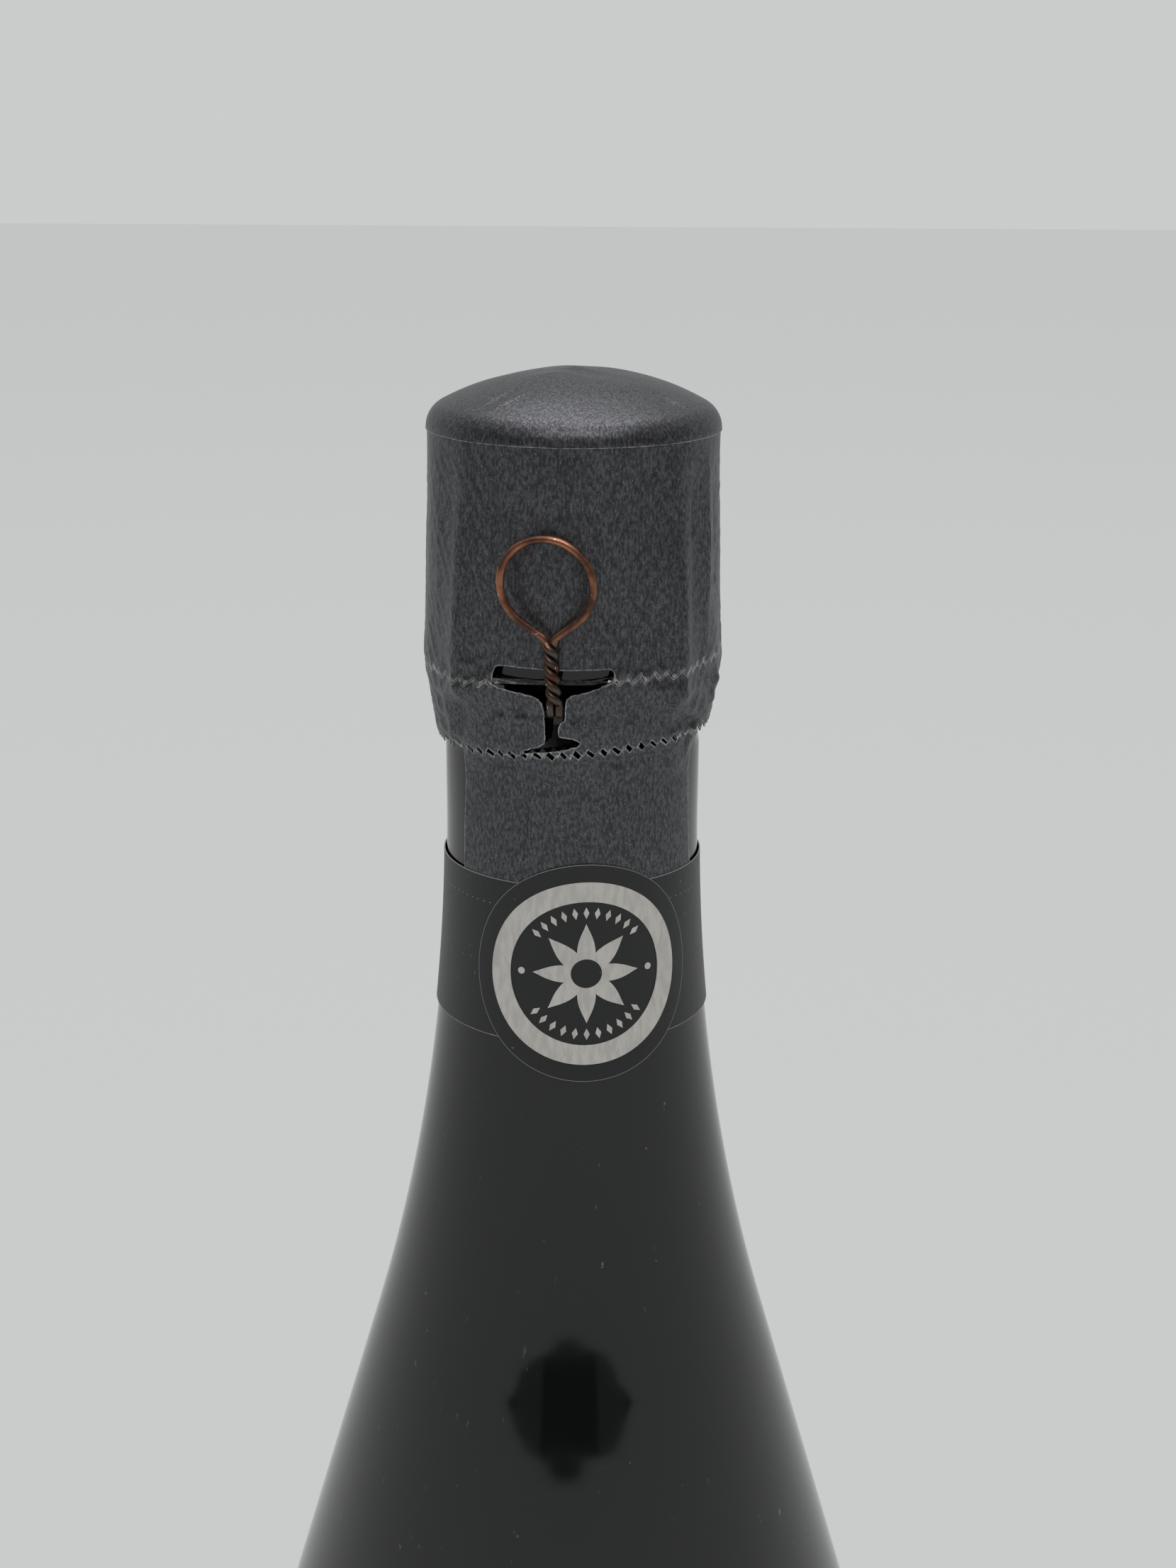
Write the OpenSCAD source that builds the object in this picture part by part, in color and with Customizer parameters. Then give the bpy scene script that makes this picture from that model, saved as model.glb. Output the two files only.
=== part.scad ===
/* [Glass bottle] */
// Height of the glass, from its foot to its mouth
glass_h = 300; // [292:1:308]
// Diameter of the straight body
body_d = 89; // [86:0.5:92]
// Diameter of the neck
neck_d = 31.2; // [30.6:0.1:31.8]
// Thickness of the glass in the body, shoulder and neck
wall = 4; // [3:0.25:5]
// Length of the straight neck with its finish, down from the mouth
neck_len = 35; // [34:1:40]
// Radius of the hollow flank between the neck and the cone
flank_r = 250; // [220:5:280]
// Slope of the cone from the vertical, in degrees
cone_slope = 16.2; // [15:0.1:17.5]
// Radius of the shoulder between the cone and the body
shoulder_r = 60; // [40:5:80]
// Radius of the heel
heel_r = 8; // [5:0.5:10]
// Width of the flat ring that the bottle stands on
foot_w = 3.5; // [2:0.5:5]
// Height of the punt under the base
punt_h = 38; // [25:1:45]
// Thickness of the glass in the base
base_t = 5; // [4:0.5:7]

/* [Mouth and ring] */
// Diameter of the bore that holds the cork
bore_d = 17.5; // [17:0.1:18.5]
// Depth of the straight bore
bore_depth = 26; // [25:0.5:30]
// Diameter of the lip at the mouth
lip_d = 28.6; // [27:0.1:29.2]
// Height of the lip
lip_h = 5.5; // [4:0.25:6.5]
// Diameter of the groove between the lip and the ring
groove_d = 26.4; // [25:0.1:26.8]
// Diameter of the ring that the wire legs pass over
ring_d = 33.8; // [33:0.1:34]
// Distance from the mouth down to the ring
ring_drop = 9.5; // [8.5:0.25:10.5]
// Height of the straight side of the ring
ring_h = 5.9; // [5:0.1:6.2]
// Height of the bevel under the ring
ring_bevel = 2.8; // [2.4:0.1:3]
// Diameter of the throat under the ring
throat_d = 28.6; // [27.6:0.1:29]
// Length over which the throat widens to the neck
throat_flare = 8; // [6:0.5:9]

/* [Cork] */
// Length of cork inside the neck
cork_in = 24; // [22:0.5:25]
// Diameter of the cork's head
cork_head_d = 30; // [28.8:0.1:30.2]
// Radius of the rounding under the head
cork_head_round = 3; // [2:0.25:4]
// Radial clearance between the cork and the bore
cork_fit = 0.05; // [0.02:0.01:0.1]
// Thickness of each natural cork disc at the wine end
cork_disc_t = 6; // [5:0.25:7]
// Chamfer at the wine end of the cork
cork_chamfer = 0.6; // [0.3:0.1:1]

/* [Wire cage] */
// Diameter of the wire
wire_d = 0.93; // [0.85:0.01:0.95]
// Gap between wires that lie against each other
wire_gap = 0.05; // [0.03:0.01:0.08]
// Diameter of the metal cap on the cork
cap_d = 31.2; // [30.9:0.1:31.3]
// Thickness of the metal cap
cap_t = 0.3; // [0.2:0.05:0.4]
// Depth of the lip of the metal cap, below the hood's rim
cap_lip = 1.4; // [1:0.1:1.8]
// Radius of the metal cap's rounded edge
cap_edge_r = 2.2; // [1.5:0.1:2.6]
// Radius of the bends where the top wire turns down into a leg
leg_bend = 1.3; // [1.1:0.05:1.5]
// Turns of the twist in a leg, an odd number of quarters that ends with one wire outside
leg_turns = 4.25; // [3.25:1:5.25]
// Azimuth of the wire cage, from the middle of the front
cage_turn = -2; // [-6:1:2]
// Radius of the middle line of an eyelet
eyelet_r = 1.04; // [1.03:0.01:1.08]
// Distance from the mouth down to the belt wire
belt_drop = 19.1; // [18.9:0.05:19.3]
// Radius of the middle line of the belt wire
belt_r = 16.1; // [16:0.05:16.15]
// Radius of the bends where the belt turns out into the twist
belt_bend = 0.7; // [0.6:0.05:0.8]

/* [Loop] */
// Azimuth of the twist and its loop
loop_turn = -6.5; // [-8:0.1:-5]
// Lean of the loop towards the left, in degrees
loop_lean = 3.5; // [0:0.5:6]
// Height of the twist, from its fold to the loop
twist_h = 7.5; // [6.9:0.1:8.3]
// Turns of the twist, half of an odd number
twist_turns = 2.5; // [1.5:1:3.5]
// Radius of the middle line of the loop
loop_r = 5.3; // [4.5:0.1:6]
// Angle at which the wires leave the twist for the loop
loop_splay = 54; // [45:1:60]
// Radius of the bend from the fold up into the twist
fold_bend = 1; // [0.9:0.05:1.1]

/* [Foil capsule] */
// Thickness of the foil
foil_t = 0.15; // [0.1:0.01:0.2]
// Gap between the foil and what it covers
foil_gap = 0.3; // [0.25:0.05:0.4]
// Distance from the mouth up to the hood's rim
rim_rise = 12; // [11.8:0.1:12.2]
// Height of the hood's dome above its rim
dome_h = 7; // [6.6:0.1:7.5]
// Radius of the dome's rounded edge
dome_edge_r = 3.3; // [2.5:0.1:3.6]
// Diameter of the hood at its rim
hood_top_d = 34.8; // [34.7:0.1:35.4]
// Diameter of the hood at the upper perforation, between the legs
hood_low_d = 36; // [35.9:0.1:36.6]
// Length of the hood below its rim
hood_len = 27.1; // [26.9:0.1:27.3]
// Width of the tear band
band_w = 8.7; // [8:0.1:9]
// Diameter of the tear band at the lower perforation
band_low_d = 33.7; // [33.5:0.1:34]
// Width of a row of perforations
perf_w = 0.1; // [0.05:0.05:0.2]
// Half width of the ridge that the foil makes over a leg
ridge_w = 2.4; // [2.2:0.1:3]
// Azimuth of the middle of the cut-out in the foil
slot_turn = -7.7; // [-8.2:0.1:-7.2]
// Width of the cut-out's wings
slot_wing_w = 14; // [12:0.5:16]
// Height that the wings reach above the upper perforation
slot_wing_up = 1.5; // [1:0.1:2]
// Width of the cut-out's stem
slot_stem_w = 2.3; // [2.25:0.05:2.6]
// Width of the cut-out's foot
slot_foot_w = 6.8; // [5:0.1:8]
// Angle round the neck that each foil tongue covers
tongue_angle = 116; // [90:1:130]
// Azimuth of the front tongue's middle
tongue_turn = 4; // [0:1:8]
// Distance from the mouth down to the end of a tongue
tongue_end = 59; // [55:0.5:64]

/* [Collar and labels] */
// Thickness of the paper
paper_t = 0.12; // [0.1:0.01:0.2]
// Gap between one layer of foil or paper and the next
layer_gap = 0.03; // [0.02:0.01:0.05]
// Distance from the mouth down to the collar
collar_drop = 40.3; // [39:0.1:43]
// Width of the collar
collar_w = 19.8; // [16:0.1:20.4]
// Angle between the collar's two ends, under the medallion
collar_open = 12; // [6:1:20]
// Diameter of the medallion
medal_d = 27.1; // [25:0.1:28]
// Azimuth of the medallion
medal_turn = 6.1; // [2:0.1:9]
// Distance from the mouth down to the middle of the medallion
medal_drop = 51.1; // [50.5:0.1:52]
// Outer diameter of the silver ring
silver_d = 22.8; // [20:0.1:24]
// Inner diameter of the silver ring
silver_in_d = 17.9; // [15:0.1:19]
// Thickness of the stamped silver
silver_t = 0.08; // [0.06:0.01:0.1]
// Diameter of the rosette in the medallion
rosette_d = 12.4; // [9:0.1:14]
// Height of the front label
label_h = 82; // [60:1:84]
// Width of the front label, round the body
label_w = 96; // [70:1:110]
// Height of the back label
back_label_h = 66; // [50:1:80]
// Width of the back label, round the body
back_label_w = 62; // [50:1:80]
// Height of both labels' lower edges above the foot
label_z = 30; // [20:1:32]

/* [Hidden] */
$fn = 96;
// Steps in the arcs of the turned outlines
small_arc_steps = 6;
arc_steps = 10;
long_arc_steps = 24;
// Sides of the bent wires, and their steps in a bend, in a turn of a twist and in longer arcs
frame_sides = 6;
wire_sides = 8;
bend_steps = 4;
rings_per_turn = 8;
eyelet_steps = 10;
loop_arc_steps = 14;
quarter_steps = 9;
belt_steps = 56;
// Divisions of the draped foil round the neck
drape_n = 72;
// Power of the punt's curve and of the rosette's rays
punt_power = 1.8;
rosette_rays = 8;
rosette_waist = 0.45;
rosette_hub_d = 3.6;
// Small cuts on the glass lip and ring
lip_round = 1.2;
ring_round = 0.8;
bore_edge = 0.6;
// Angle between two legs of the cage, and from a bend to the next point of the top wire
leg_step = 90;
bend_lead = 8;
// Room over a shape that cuts a layer on the neck
cut_room = 2;
// Angle between the ends of the top wire
wire_end_gap = 1;
// Angles on an eyelet at which its wire comes in and leaves
eyelet_from = 130;
eyelet_to = 410;
// Rise of the belt's ends under the fold, straight wire at the fold, and bends out of the twist
fold_rise = 0.3;
fold_lead = 0.3;
splay_bend = 0.9;
// Swell of the foil over an eyelet
eyelet_swell = 0.1;
// Heights and corner of the foil's cut-out
wing_h = 2.2;
foot_h = 1.7;
wing_round = 0.7;
// A tongue's way in to the neck: its height, its slow start and the share taken by its slope
draw_in = 4.3;
draw_start = 0.24;
draw_share = 0.6;
// Reach of the tools that cut the foil and paper
cut_reach = 30;

body_r = body_d / 2;
neck_r = neck_d / 2;
bore_r = bore_d / 2;
lip_r = lip_d / 2;
groove_r = groove_d / 2;
ring_r = ring_d / 2;
throat_r = throat_d / 2;
foot_r = body_r - heel_r;
punt_r = foot_r - foot_w;
ring_top = glass_h - ring_drop;
ring_side = ring_top - ring_h;
throat_top = ring_side - ring_bevel;
neck_z = glass_h - neck_len;

// The cone leaves the flank where their slopes agree, and meets the shoulder in the same way
flank_low = neck_z - flank_r * sin(cone_slope);
flank_low_r = neck_r + flank_r * (1 - cos(cone_slope));
shoulder_top_r = body_r - shoulder_r * (1 - cos(cone_slope));
shoulder_top = flank_low - (shoulder_top_r - flank_low_r) / tan(cone_slope);
body_top = shoulder_top - shoulder_r * sin(cone_slope);

rim_z = glass_h + rim_rise;
hood_top_r = hood_top_d / 2;
hood_low_r = hood_low_d / 2;
band_low_r = band_low_d / 2;
hood_end = rim_z - hood_len;
band_top = hood_end - perf_w;
band_end = hood_end - band_w;
tongue_top = band_end - perf_w;

wire_r = wire_d / 2;
pair_r = wire_r + wire_gap / 2;
pair_out = pair_r + wire_r;
cap_r = cap_d / 2;
cap_rise = dome_h - foil_t - foil_gap;
top_wire_r = cap_r + wire_gap + wire_r;
top_wire_z = rim_z - cap_lip + cap_t + wire_gap + wire_r;
leg_top = top_wire_z - leg_bend;
leg_out_r = ring_r + wire_gap + pair_out;
belt_z = glass_h - belt_drop;
leg_foot_r = belt_r + pair_out / 3;
leg_end = belt_z + eyelet_r + wire_gap;
first_leg = cage_turn - 1.5 * leg_step;

fold_r = ring_r + foil_gap + foil_t;
fold_z = belt_z + fold_rise;
twist_low = fold_z + fold_bend + fold_lead;
twist_low_r = fold_r + fold_bend;
twist_out_r = hood_low_r + foil_gap / 2 + pair_out;

// Radii of the layers on the neck: foil, collar, medallion and stamped silver
tongue_lift = layer_gap;
collar_lift = tongue_lift + foil_t + layer_gap;
medal_lift = collar_lift + paper_t + layer_gap;
silver_lift = medal_lift + paper_t + layer_gap;

function arc(x, z, r, from, to, n = arc_steps) =
    [for (i = [0:n]) [x + r * cos(from + (to - from) * i / n), z + r * sin(from + (to - from) * i / n)]];

// Outer radius of the glass where the neck runs into the flank
function flank(z) = z >= neck_z ? neck_r : neck_r + flank_r - sqrt(pow(flank_r, 2) - pow(neck_z - z, 2));

// A dome with a rounded edge: two arcs that meet where their slopes agree
function dome_r(r, h, edge) = (pow(r - edge, 2) + pow(h, 2) - pow(edge, 2)) / (2 * (h - edge));
function dome_meet(r, h, edge) = acos((dome_r(r, h, edge) - h) / (dome_r(r, h, edge) - edge));
function dome(r, h, edge, z) = concat(
    arc(r - edge, z, edge, 0, 90 - dome_meet(r, h, edge), small_arc_steps),
    arc(0, z + h - dome_r(r, h, edge), dome_r(r, h, edge), 90 - dome_meet(r, h, edge), 90));

function unit(v) = v / norm(v);
function turned(p, a) = [p.x * cos(a) - p.y * sin(a), p.x * sin(a) + p.y * cos(a), p.z];
function reversed(list) = [for (i = [len(list) - 1:-1:0]) list[i]];

// Directions along a path, and the side vector that is carried along it without twisting
function heading(p) = [for (i = [0:len(p) - 1]) unit(p[min(i + 1, len(p) - 1)] - p[max(i - 1, 0)])];
function first_side(t) = unit(cross(t, abs(t.z) < 0.9 ? [0, 0, 1] : [1, 0, 0]));
function carried(t) = [for (i = 0, n = first_side(t[0]); i < len(t);
    i = i + 1, n = i < len(t) ? unit(n - (n * t[i]) * t[i]) : n) n];

// A round wire along a path, closed by flat ends
module wire(path, r, sides) {
    t = heading(path);
    n = carried(t);
    last = len(path) - 1;
    points = [for (i = [0:last]) for (k = [0:sides - 1])
        path[i] + r * (cos(360 * k / sides) * n[i] + sin(360 * k / sides) * cross(t[i], n[i]))];
    skin = [for (i = [0:last - 1]) for (k = [0:sides - 1])
        let (a = i * sides + k, b = i * sides + (k + 1) % sides)
        each [[a, a + sides, b + sides], [a, b + sides, b]]];
    start = [for (k = [0:sides - 1]) k];
    end = [for (k = [sides - 1:-1:0]) last * sides + k];
    polyhedron(points, concat(skin, [start, end]), convexity = 10);
}

// Drawn facing the front, then turned to an azimuth that grows to the right
module at_azimuth(a) rotate([0, 0, a]) children();

// A turned part that covers an angle round the axis, centred on the front
module turned_part(angle) rotate([0, 0, -90 - angle / 2]) rotate_extrude(angle = angle) children();

// Outline of a layer that follows the neck between two heights
module neck_layer(low, high, lift, t) {
    zs = [for (i = [0:long_arc_steps]) low + (high - low) * i / long_arc_steps];
    polygon(concat([for (z = zs) [flank(z) + lift, z]], [for (z = reversed(zs)) [flank(z) + lift + t, z]]));
}

function punt(r, low, outer_r) = low + punt_h * (1 - pow(r / outer_r, punt_power));

module glass_outline() {
    throat_low = throat_top - throat_flare;
    outside = concat(
        [[punt_r, 0]],
        arc(foot_r, heel_r, heel_r, -90, 0),
        arc(body_r - shoulder_r, body_top, shoulder_r, 0, cone_slope),
        arc(neck_r + flank_r, neck_z, flank_r, 180 + cone_slope, 180, long_arc_steps),
        [[neck_r, throat_low], [throat_r, throat_top - ring_bevel], [throat_r, throat_top]],
        [[ring_r, ring_side]],
        arc(ring_r - ring_round, ring_top - ring_round, ring_round, 0, 90, small_arc_steps),
        [[groove_r, ring_top], [groove_r, glass_h - lip_h - (lip_r - groove_r)], [lip_r, glass_h - lip_h]],
        arc(lip_r - lip_round, glass_h - lip_round, lip_round, 0, 90, small_arc_steps));
    inside = concat(
        [[bore_r + bore_edge, glass_h], [bore_r, glass_h - bore_edge], [bore_r, glass_h - bore_depth]],
        arc(neck_r + flank_r, neck_z, flank_r + wall, 180, 180 + cone_slope, long_arc_steps),
        arc(body_r - shoulder_r, body_top, shoulder_r - wall, cone_slope, 0),
        arc(foot_r, base_t + heel_r - wall, heel_r - wall, 0, -90, small_arc_steps),
        [for (i = [long_arc_steps - 1:-1:0])
            let (r = foot_r * i / long_arc_steps) [r, punt(r, base_t, foot_r)]]);
    under = [for (i = [0:long_arc_steps - 1])
        let (r = punt_r * i / long_arc_steps) [r, punt(r, 0, punt_r)]];
    polygon(concat(outside, inside, under));
}

module glass_bottle() color([0.03, 0.04, 0.03]) rotate_extrude($fn = 180) glass_outline();

cork_r = bore_r - cork_fit;
cork_low = glass_h - cork_in;
cork_disc_top = cork_low + cork_disc_t;
cork_body_low = cork_low + 2 * cork_disc_t;
cork_head_r = cork_head_d / 2;
cork_gap = cap_r - cap_t - cork_head_r;

module cork_body() color([0.72, 0.55, 0.36]) rotate_extrude() polygon(concat(
    [[0, cork_body_low], [cork_r, cork_body_low], [cork_r, glass_h]],
    arc(cork_head_r - cork_head_round, glass_h + cork_head_round, cork_head_round, -90, 0, small_arc_steps),
    dome(cork_head_r, cap_rise - cap_t - cork_gap, cap_edge_r - cap_t, rim_z)));

module cork_disc_upper() color([0.78, 0.62, 0.43])
    translate([0, 0, cork_disc_top]) cylinder(r = cork_r, h = cork_disc_t);

module cork_disc_lower() color([0.8, 0.65, 0.46]) rotate_extrude() polygon([
    [0, cork_low], [cork_r - cork_chamfer, cork_low], [cork_r, cork_low + cork_chamfer],
    [cork_r, cork_disc_top], [0, cork_disc_top]]);

notch_half = asin((pair_r + leg_bend + wire_gap) / cap_r);
// Pressed cap whose lip turns out under the top wire, with a notch in the lip for each leg
module metal_cap() color([0.62, 0.63, 0.65]) {
    rotate_extrude() polygon(concat(
        [[0, rim_z + cap_rise - cap_t]],
        reversed(dome(cap_r - cap_t, cap_rise - cap_t, cap_edge_r - cap_t, rim_z)),
        [[cap_r - cap_t, rim_z - cap_lip], [cap_r, rim_z - cap_lip]],
        dome(cap_r, cap_rise, cap_edge_r, rim_z)));
    for (a = [first_leg:leg_step:first_leg + 3 * leg_step])
        at_azimuth(a + leg_step / 2) turned_part(leg_step - 2 * notch_half)
            translate([cap_r - cap_t / 2, rim_z - cap_lip]) square([top_wire_r - cap_r + cap_t / 2, cap_t]);
}

// Middle line of a leg: it spreads over the ring and turns in under it
leg_line = [[leg_end, leg_foot_r], [ring_side - ring_bevel / 2, leg_out_r - pair_r / 2],
    [ring_side - wire_gap, leg_out_r], [ring_top, leg_out_r], [leg_top, top_wire_r]];
leg_steps = round(leg_turns * rings_per_turn);

function strand(z, side) =
    let (phase = side + 360 * leg_turns * (leg_top - z) / (leg_top - leg_end))
    [pair_r * cos(phase), -lookup(z, leg_line) - pair_r * sin(phase), z];

function leg_strand(side) =
    [for (i = [0:leg_steps]) strand(leg_top + (leg_end - leg_top) * i / leg_steps, side)];

// Quarter bend from the top wire, which comes from the left, down into a leg
function shoulder_bend() = [for (i = [0:bend_steps]) let (a = 90 - 90 * i / bend_steps)
    turned([0, -top_wire_r, top_wire_z - leg_bend + leg_bend * sin(a)],
        -asin((pair_r + leg_bend - leg_bend * cos(a)) / top_wire_r))];

function mirrored(path) = [for (p = reversed(path)) [-p.x, p.y, p.z]];

// The wire goes down one strand, round the belt wire and up the other strand
function eyelet() = [for (i = [0:eyelet_steps])
    let (a = eyelet_from + (eyelet_to - eyelet_from) * i / eyelet_steps)
    [0, -belt_r - eyelet_r * cos(a), belt_z + eyelet_r * sin(a)]];

function leg() = concat(
    [for (i = [0:bend_steps - 1]) shoulder_bend()[i]], leg_strand(180),
    eyelet(), reversed(leg_strand(0)),
    [for (i = [1:bend_steps]) mirrored(shoulder_bend())[i]]);

quarter_gap = asin((pair_r + leg_bend) / top_wire_r);
function top_quarter(from, to) = [for (i = [0:quarter_steps])
    turned([0, -top_wire_r, top_wire_z], from + (to - from) * i / quarter_steps)];

function frame_path() = concat(
    top_quarter(first_leg - (leg_step - wire_end_gap) / 2, first_leg - quarter_gap - bend_lead),
    [for (k = [0:3]) each concat(
        [for (p = leg()) turned(p, first_leg + leg_step * k)],
        k < 3 ? let (a = first_leg + leg_step * k + quarter_gap, b = a + leg_step - 2 * quarter_gap)
            [for (i = [1:quarter_steps]) top_quarter(a, b - bend_lead)[i]] : [])],
    top_quarter(first_leg + 3 * leg_step + quarter_gap + bend_lead,
        first_leg + 3 * leg_step + (leg_step - wire_end_gap) / 2));

module wire_frame() color([0.45, 0.3, 0.22]) wire(frame_path(), wire_r, frame_sides);

// The belt runs round under the ring, and both ends turn out side by side and up to the fold
belt_open = asin((pair_r + belt_bend) / belt_r);
function belt_end() = concat(
    [[pair_r, -twist_low_r, twist_low]],
    [for (i = [bend_steps:-1:0]) let (a = 90 * i / bend_steps)
        [pair_r, -(twist_low_r - fold_bend * (1 - sin(a))), fold_z + fold_bend * (1 - cos(a))]],
    [for (i = [0:bend_steps]) let (a = 90 * i / bend_steps)
        [pair_r + belt_bend * (1 - cos(a)),
            -(belt_r + belt_bend * (1 - sin(a))), fold_z - fold_rise * i / bend_steps]]);
function belt_path() = concat(
    belt_end(),
    [for (i = [1:belt_steps - 1]) turned([0, -belt_r, belt_z],
        belt_open + (360 - 2 * belt_open) * i / belt_steps)],
    mirrored(belt_end()));

module belt_wire() color([0.5, 0.32, 0.22]) at_azimuth(loop_turn) wire(belt_path(), wire_r, wire_sides);

// The loop's wire: up one strand of the twist from the fold, round the loop and back
twist_top = twist_low + twist_h;
twist_start = twist_low + fold_lead;
twist_line = [[twist_start, twist_low_r], [hood_end + slot_wing_up, twist_out_r], [twist_top, twist_out_r]];
twist_steps = round(twist_turns * rings_per_turn);
function fold_strand(side) = [side * pair_r, -twist_low_r, twist_low + wire_gap];
function twist_strand(side) = [for (i = [0:twist_steps])
    let (z = twist_start + (twist_top - twist_start) * i / twist_steps,
        phase = side - 360 * twist_turns * i / twist_steps)
    [pair_r * cos(phase), -lookup(z, twist_line) + pair_r * sin(phase), z]];

// Half of the loop in its own plane: a bend out of the twist, a straight run and an arc
run_x = pair_r + splay_bend * (1 - cos(loop_splay));
run_z = twist_top + splay_bend * sin(loop_splay);
run_len = (loop_r * cos(loop_splay) - run_x) / sin(loop_splay);
loop_z = run_z + run_len * cos(loop_splay) + loop_r * sin(loop_splay);
function half_loop() = concat(
    [for (i = [1:bend_steps]) let (a = loop_splay * i / bend_steps)
        [pair_r + splay_bend * (1 - cos(a)), twist_top + splay_bend * sin(a)]],
    arc(0, loop_z, loop_r, -loop_splay, 90, loop_arc_steps));
function loop_path() = concat(
    [fold_strand(-1)], twist_strand(180),
    [for (p = half_loop()) [p.x, -twist_out_r, p.y]],
    [for (p = reversed(half_loop())) if (p.x > wire_gap) [-p.x, -twist_out_r, p.y]],
    reversed(twist_strand(0)), [fold_strand(1)]);

module wire_loop() color([0.55, 0.3, 0.2]) at_azimuth(loop_turn)
    wire([for (p = loop_path()) [p.x - (p.z - twist_low) * tan(loop_lean), p.y, p.z]], wire_r, wire_sides);

// The foil between the rim and the lower perforation: an even taper with a ridge over each leg
foil_line = [[band_end, band_low_r], [belt_z, (band_low_r + hood_low_r) / 2], [hood_end, hood_low_r],
    [rim_z, hood_top_r]];
ridge_line = [[band_end + perf_w, 0], [belt_z - eyelet_r, eyelet_swell],
    [leg_end, leg_out_r + pair_out + foil_gap / 2 - (hood_low_r - foil_t)],
    [ring_top, leg_out_r + pair_out + foil_gap / 2 + foil_t - lookup(ring_top, foil_line)],
    [leg_top, foil_t], [top_wire_z, 0]];

function ridges(z, a) = lookup(z, ridge_line) * (
    let (from_leg = abs((a + leg_step / 2) % leg_step - leg_step / 2))
        exp(-pow(from_leg * PI / 180 * hood_low_r / ridge_w, 2)));

// Heights of the rows of points on a foil tube, closer together where the ridges begin
module draped(rows) {
    last = len(rows) - 1;
    function ring(z, in) = [for (k = [0:drape_n - 1])
        let (a = k * 360 / drape_n, r = lookup(z, foil_line) + ridges(z, a) - in)
        turned([0, -r, z], a + first_leg)];
    points = concat([for (z = rows) each ring(z, 0)], [for (z = reversed(rows)) each ring(z, foil_t)]);
    count = 2 * (last + 1);
    faces = [for (i = [0:count - 1]) for (k = [0:drape_n - 1])
        let (a = i * drape_n + k, b = i * drape_n + (k + 1) % drape_n,
            c = ((i + 1) % count) * drape_n + k, d = ((i + 1) % count) * drape_n + (k + 1) % drape_n)
        each [[a, c, d], [a, d, b]]];
    polyhedron(points, faces, convexity = 10);
}

// Cut-out with wings over the upper perforation, a stem and a foot at the lower perforation
module slot() at_azimuth(slot_turn) {
    top = hood_end + slot_wing_up;
    low = top - wing_h;
    stem_x = hood_low_r * sin(loop_turn - slot_turn);
    left = stem_x - slot_stem_w / 2;
    right = stem_x + slot_stem_w / 2;
    rotate([90, 0, 0]) linear_extrude(cut_reach) polygon([
        [-slot_wing_w / 2 + wing_round, top], [-slot_wing_w / 2, top - wing_round],
        [-slot_wing_w / 2 + wing_round, low], [left, low - wing_h / 2],
        [left, band_end + foot_h], [-slot_foot_w / 2, band_end - perf_w / 2],
        [slot_foot_w / 2, band_end - perf_w / 2], [right, band_end + foot_h],
        [right, low - wing_h / 2], [slot_wing_w / 2 - wing_round, low],
        [slot_wing_w / 2, top - wing_round], [slot_wing_w / 2 - wing_round, top]]);
}

skirt_top = rim_z - foil_t;
module hood_skirt() color([0.2, 0.2, 0.22]) difference() {
    draped([hood_end, ring_side + ring_h / 2, ring_top, (2 * ring_top + leg_top) / 3,
        (ring_top + 2 * leg_top) / 3, leg_top, skirt_top]);
    slot();
}

module tear_band() color([0.22, 0.22, 0.24]) difference() {
    draped([band_end, belt_z - eyelet_r, leg_end, band_top]);
    slot();
}

// The disc lies on the skirt's edge like a shallow lid
module hood_disc() color([0.2, 0.2, 0.22]) rotate_extrude() {
    disc_r = hood_top_r + foil_t;
    polygon(concat(
        [[0, rim_z + dome_h - foil_t]],
        reversed(dome(disc_r - foil_t, dome_h - foil_t, dome_edge_r - foil_t, rim_z)),
        [[disc_r - foil_t, rim_z - foil_t + layer_gap], [disc_r, rim_z - foil_t + layer_gap]],
        dome(disc_r, dome_h, dome_edge_r, rim_z)));
}

// A tongue hangs from the lower perforation, draws in to the neck and lies along it
module tongue_outline() {
    neck_top = tongue_top - draw_in;
    end_z = glass_h - tongue_end;
    zs = [for (i = [0:long_arc_steps]) end_z + (neck_top - end_z) * i / long_arc_steps];
    lean = [[band_low_r, tongue_top], [band_low_r - draw_start, tongue_top - draw_in / bend_steps],
        [(band_low_r + neck_r) / 2 + foil_t, tongue_top - draw_in * draw_share]];
    outer = concat([for (z = zs) [flank(z) + tongue_lift + foil_t, z]], reversed(lean));
    polygon(concat(outer, [for (p = reversed(outer)) [p.x - foil_t, p.y]]));
}

module foil_tongue_front() color([0.19, 0.19, 0.21])
    at_azimuth(tongue_turn) turned_part(tongue_angle) tongue_outline();

module foil_tongue_back() color([0.19, 0.19, 0.21])
    at_azimuth(tongue_turn + 180) turned_part(tongue_angle) tongue_outline();

module collar_band() color([0.1, 0.1, 0.11])
    at_azimuth(medal_turn + 180) turned_part(360 - collar_open)
        neck_layer(glass_h - collar_drop - collar_w, glass_h - collar_drop, collar_lift, paper_t);

// A layer of the medallion, cut out of a sleeve on the neck by the shape that is given
module medal_layer(d, lift, t) intersection() {
    rotate_extrude($fn = 120) neck_layer(glass_h - medal_drop - d,
        glass_h - medal_drop + d / 2 + cut_room, lift, t);
    at_azimuth(medal_turn) translate([0, 0, glass_h - medal_drop]) rotate([90, 0, 0]) children();
}

module medallion() color([0.09, 0.09, 0.1])
    medal_layer(medal_d, medal_lift, paper_t) cylinder(d = medal_d, h = cut_reach);

module silver_ring() color([0.8, 0.78, 0.75]) medal_layer(silver_d, silver_lift, silver_t) difference() {
    cylinder(d = silver_d, h = cut_reach);
    cylinder(d = silver_in_d, h = cut_reach);
}

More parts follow.
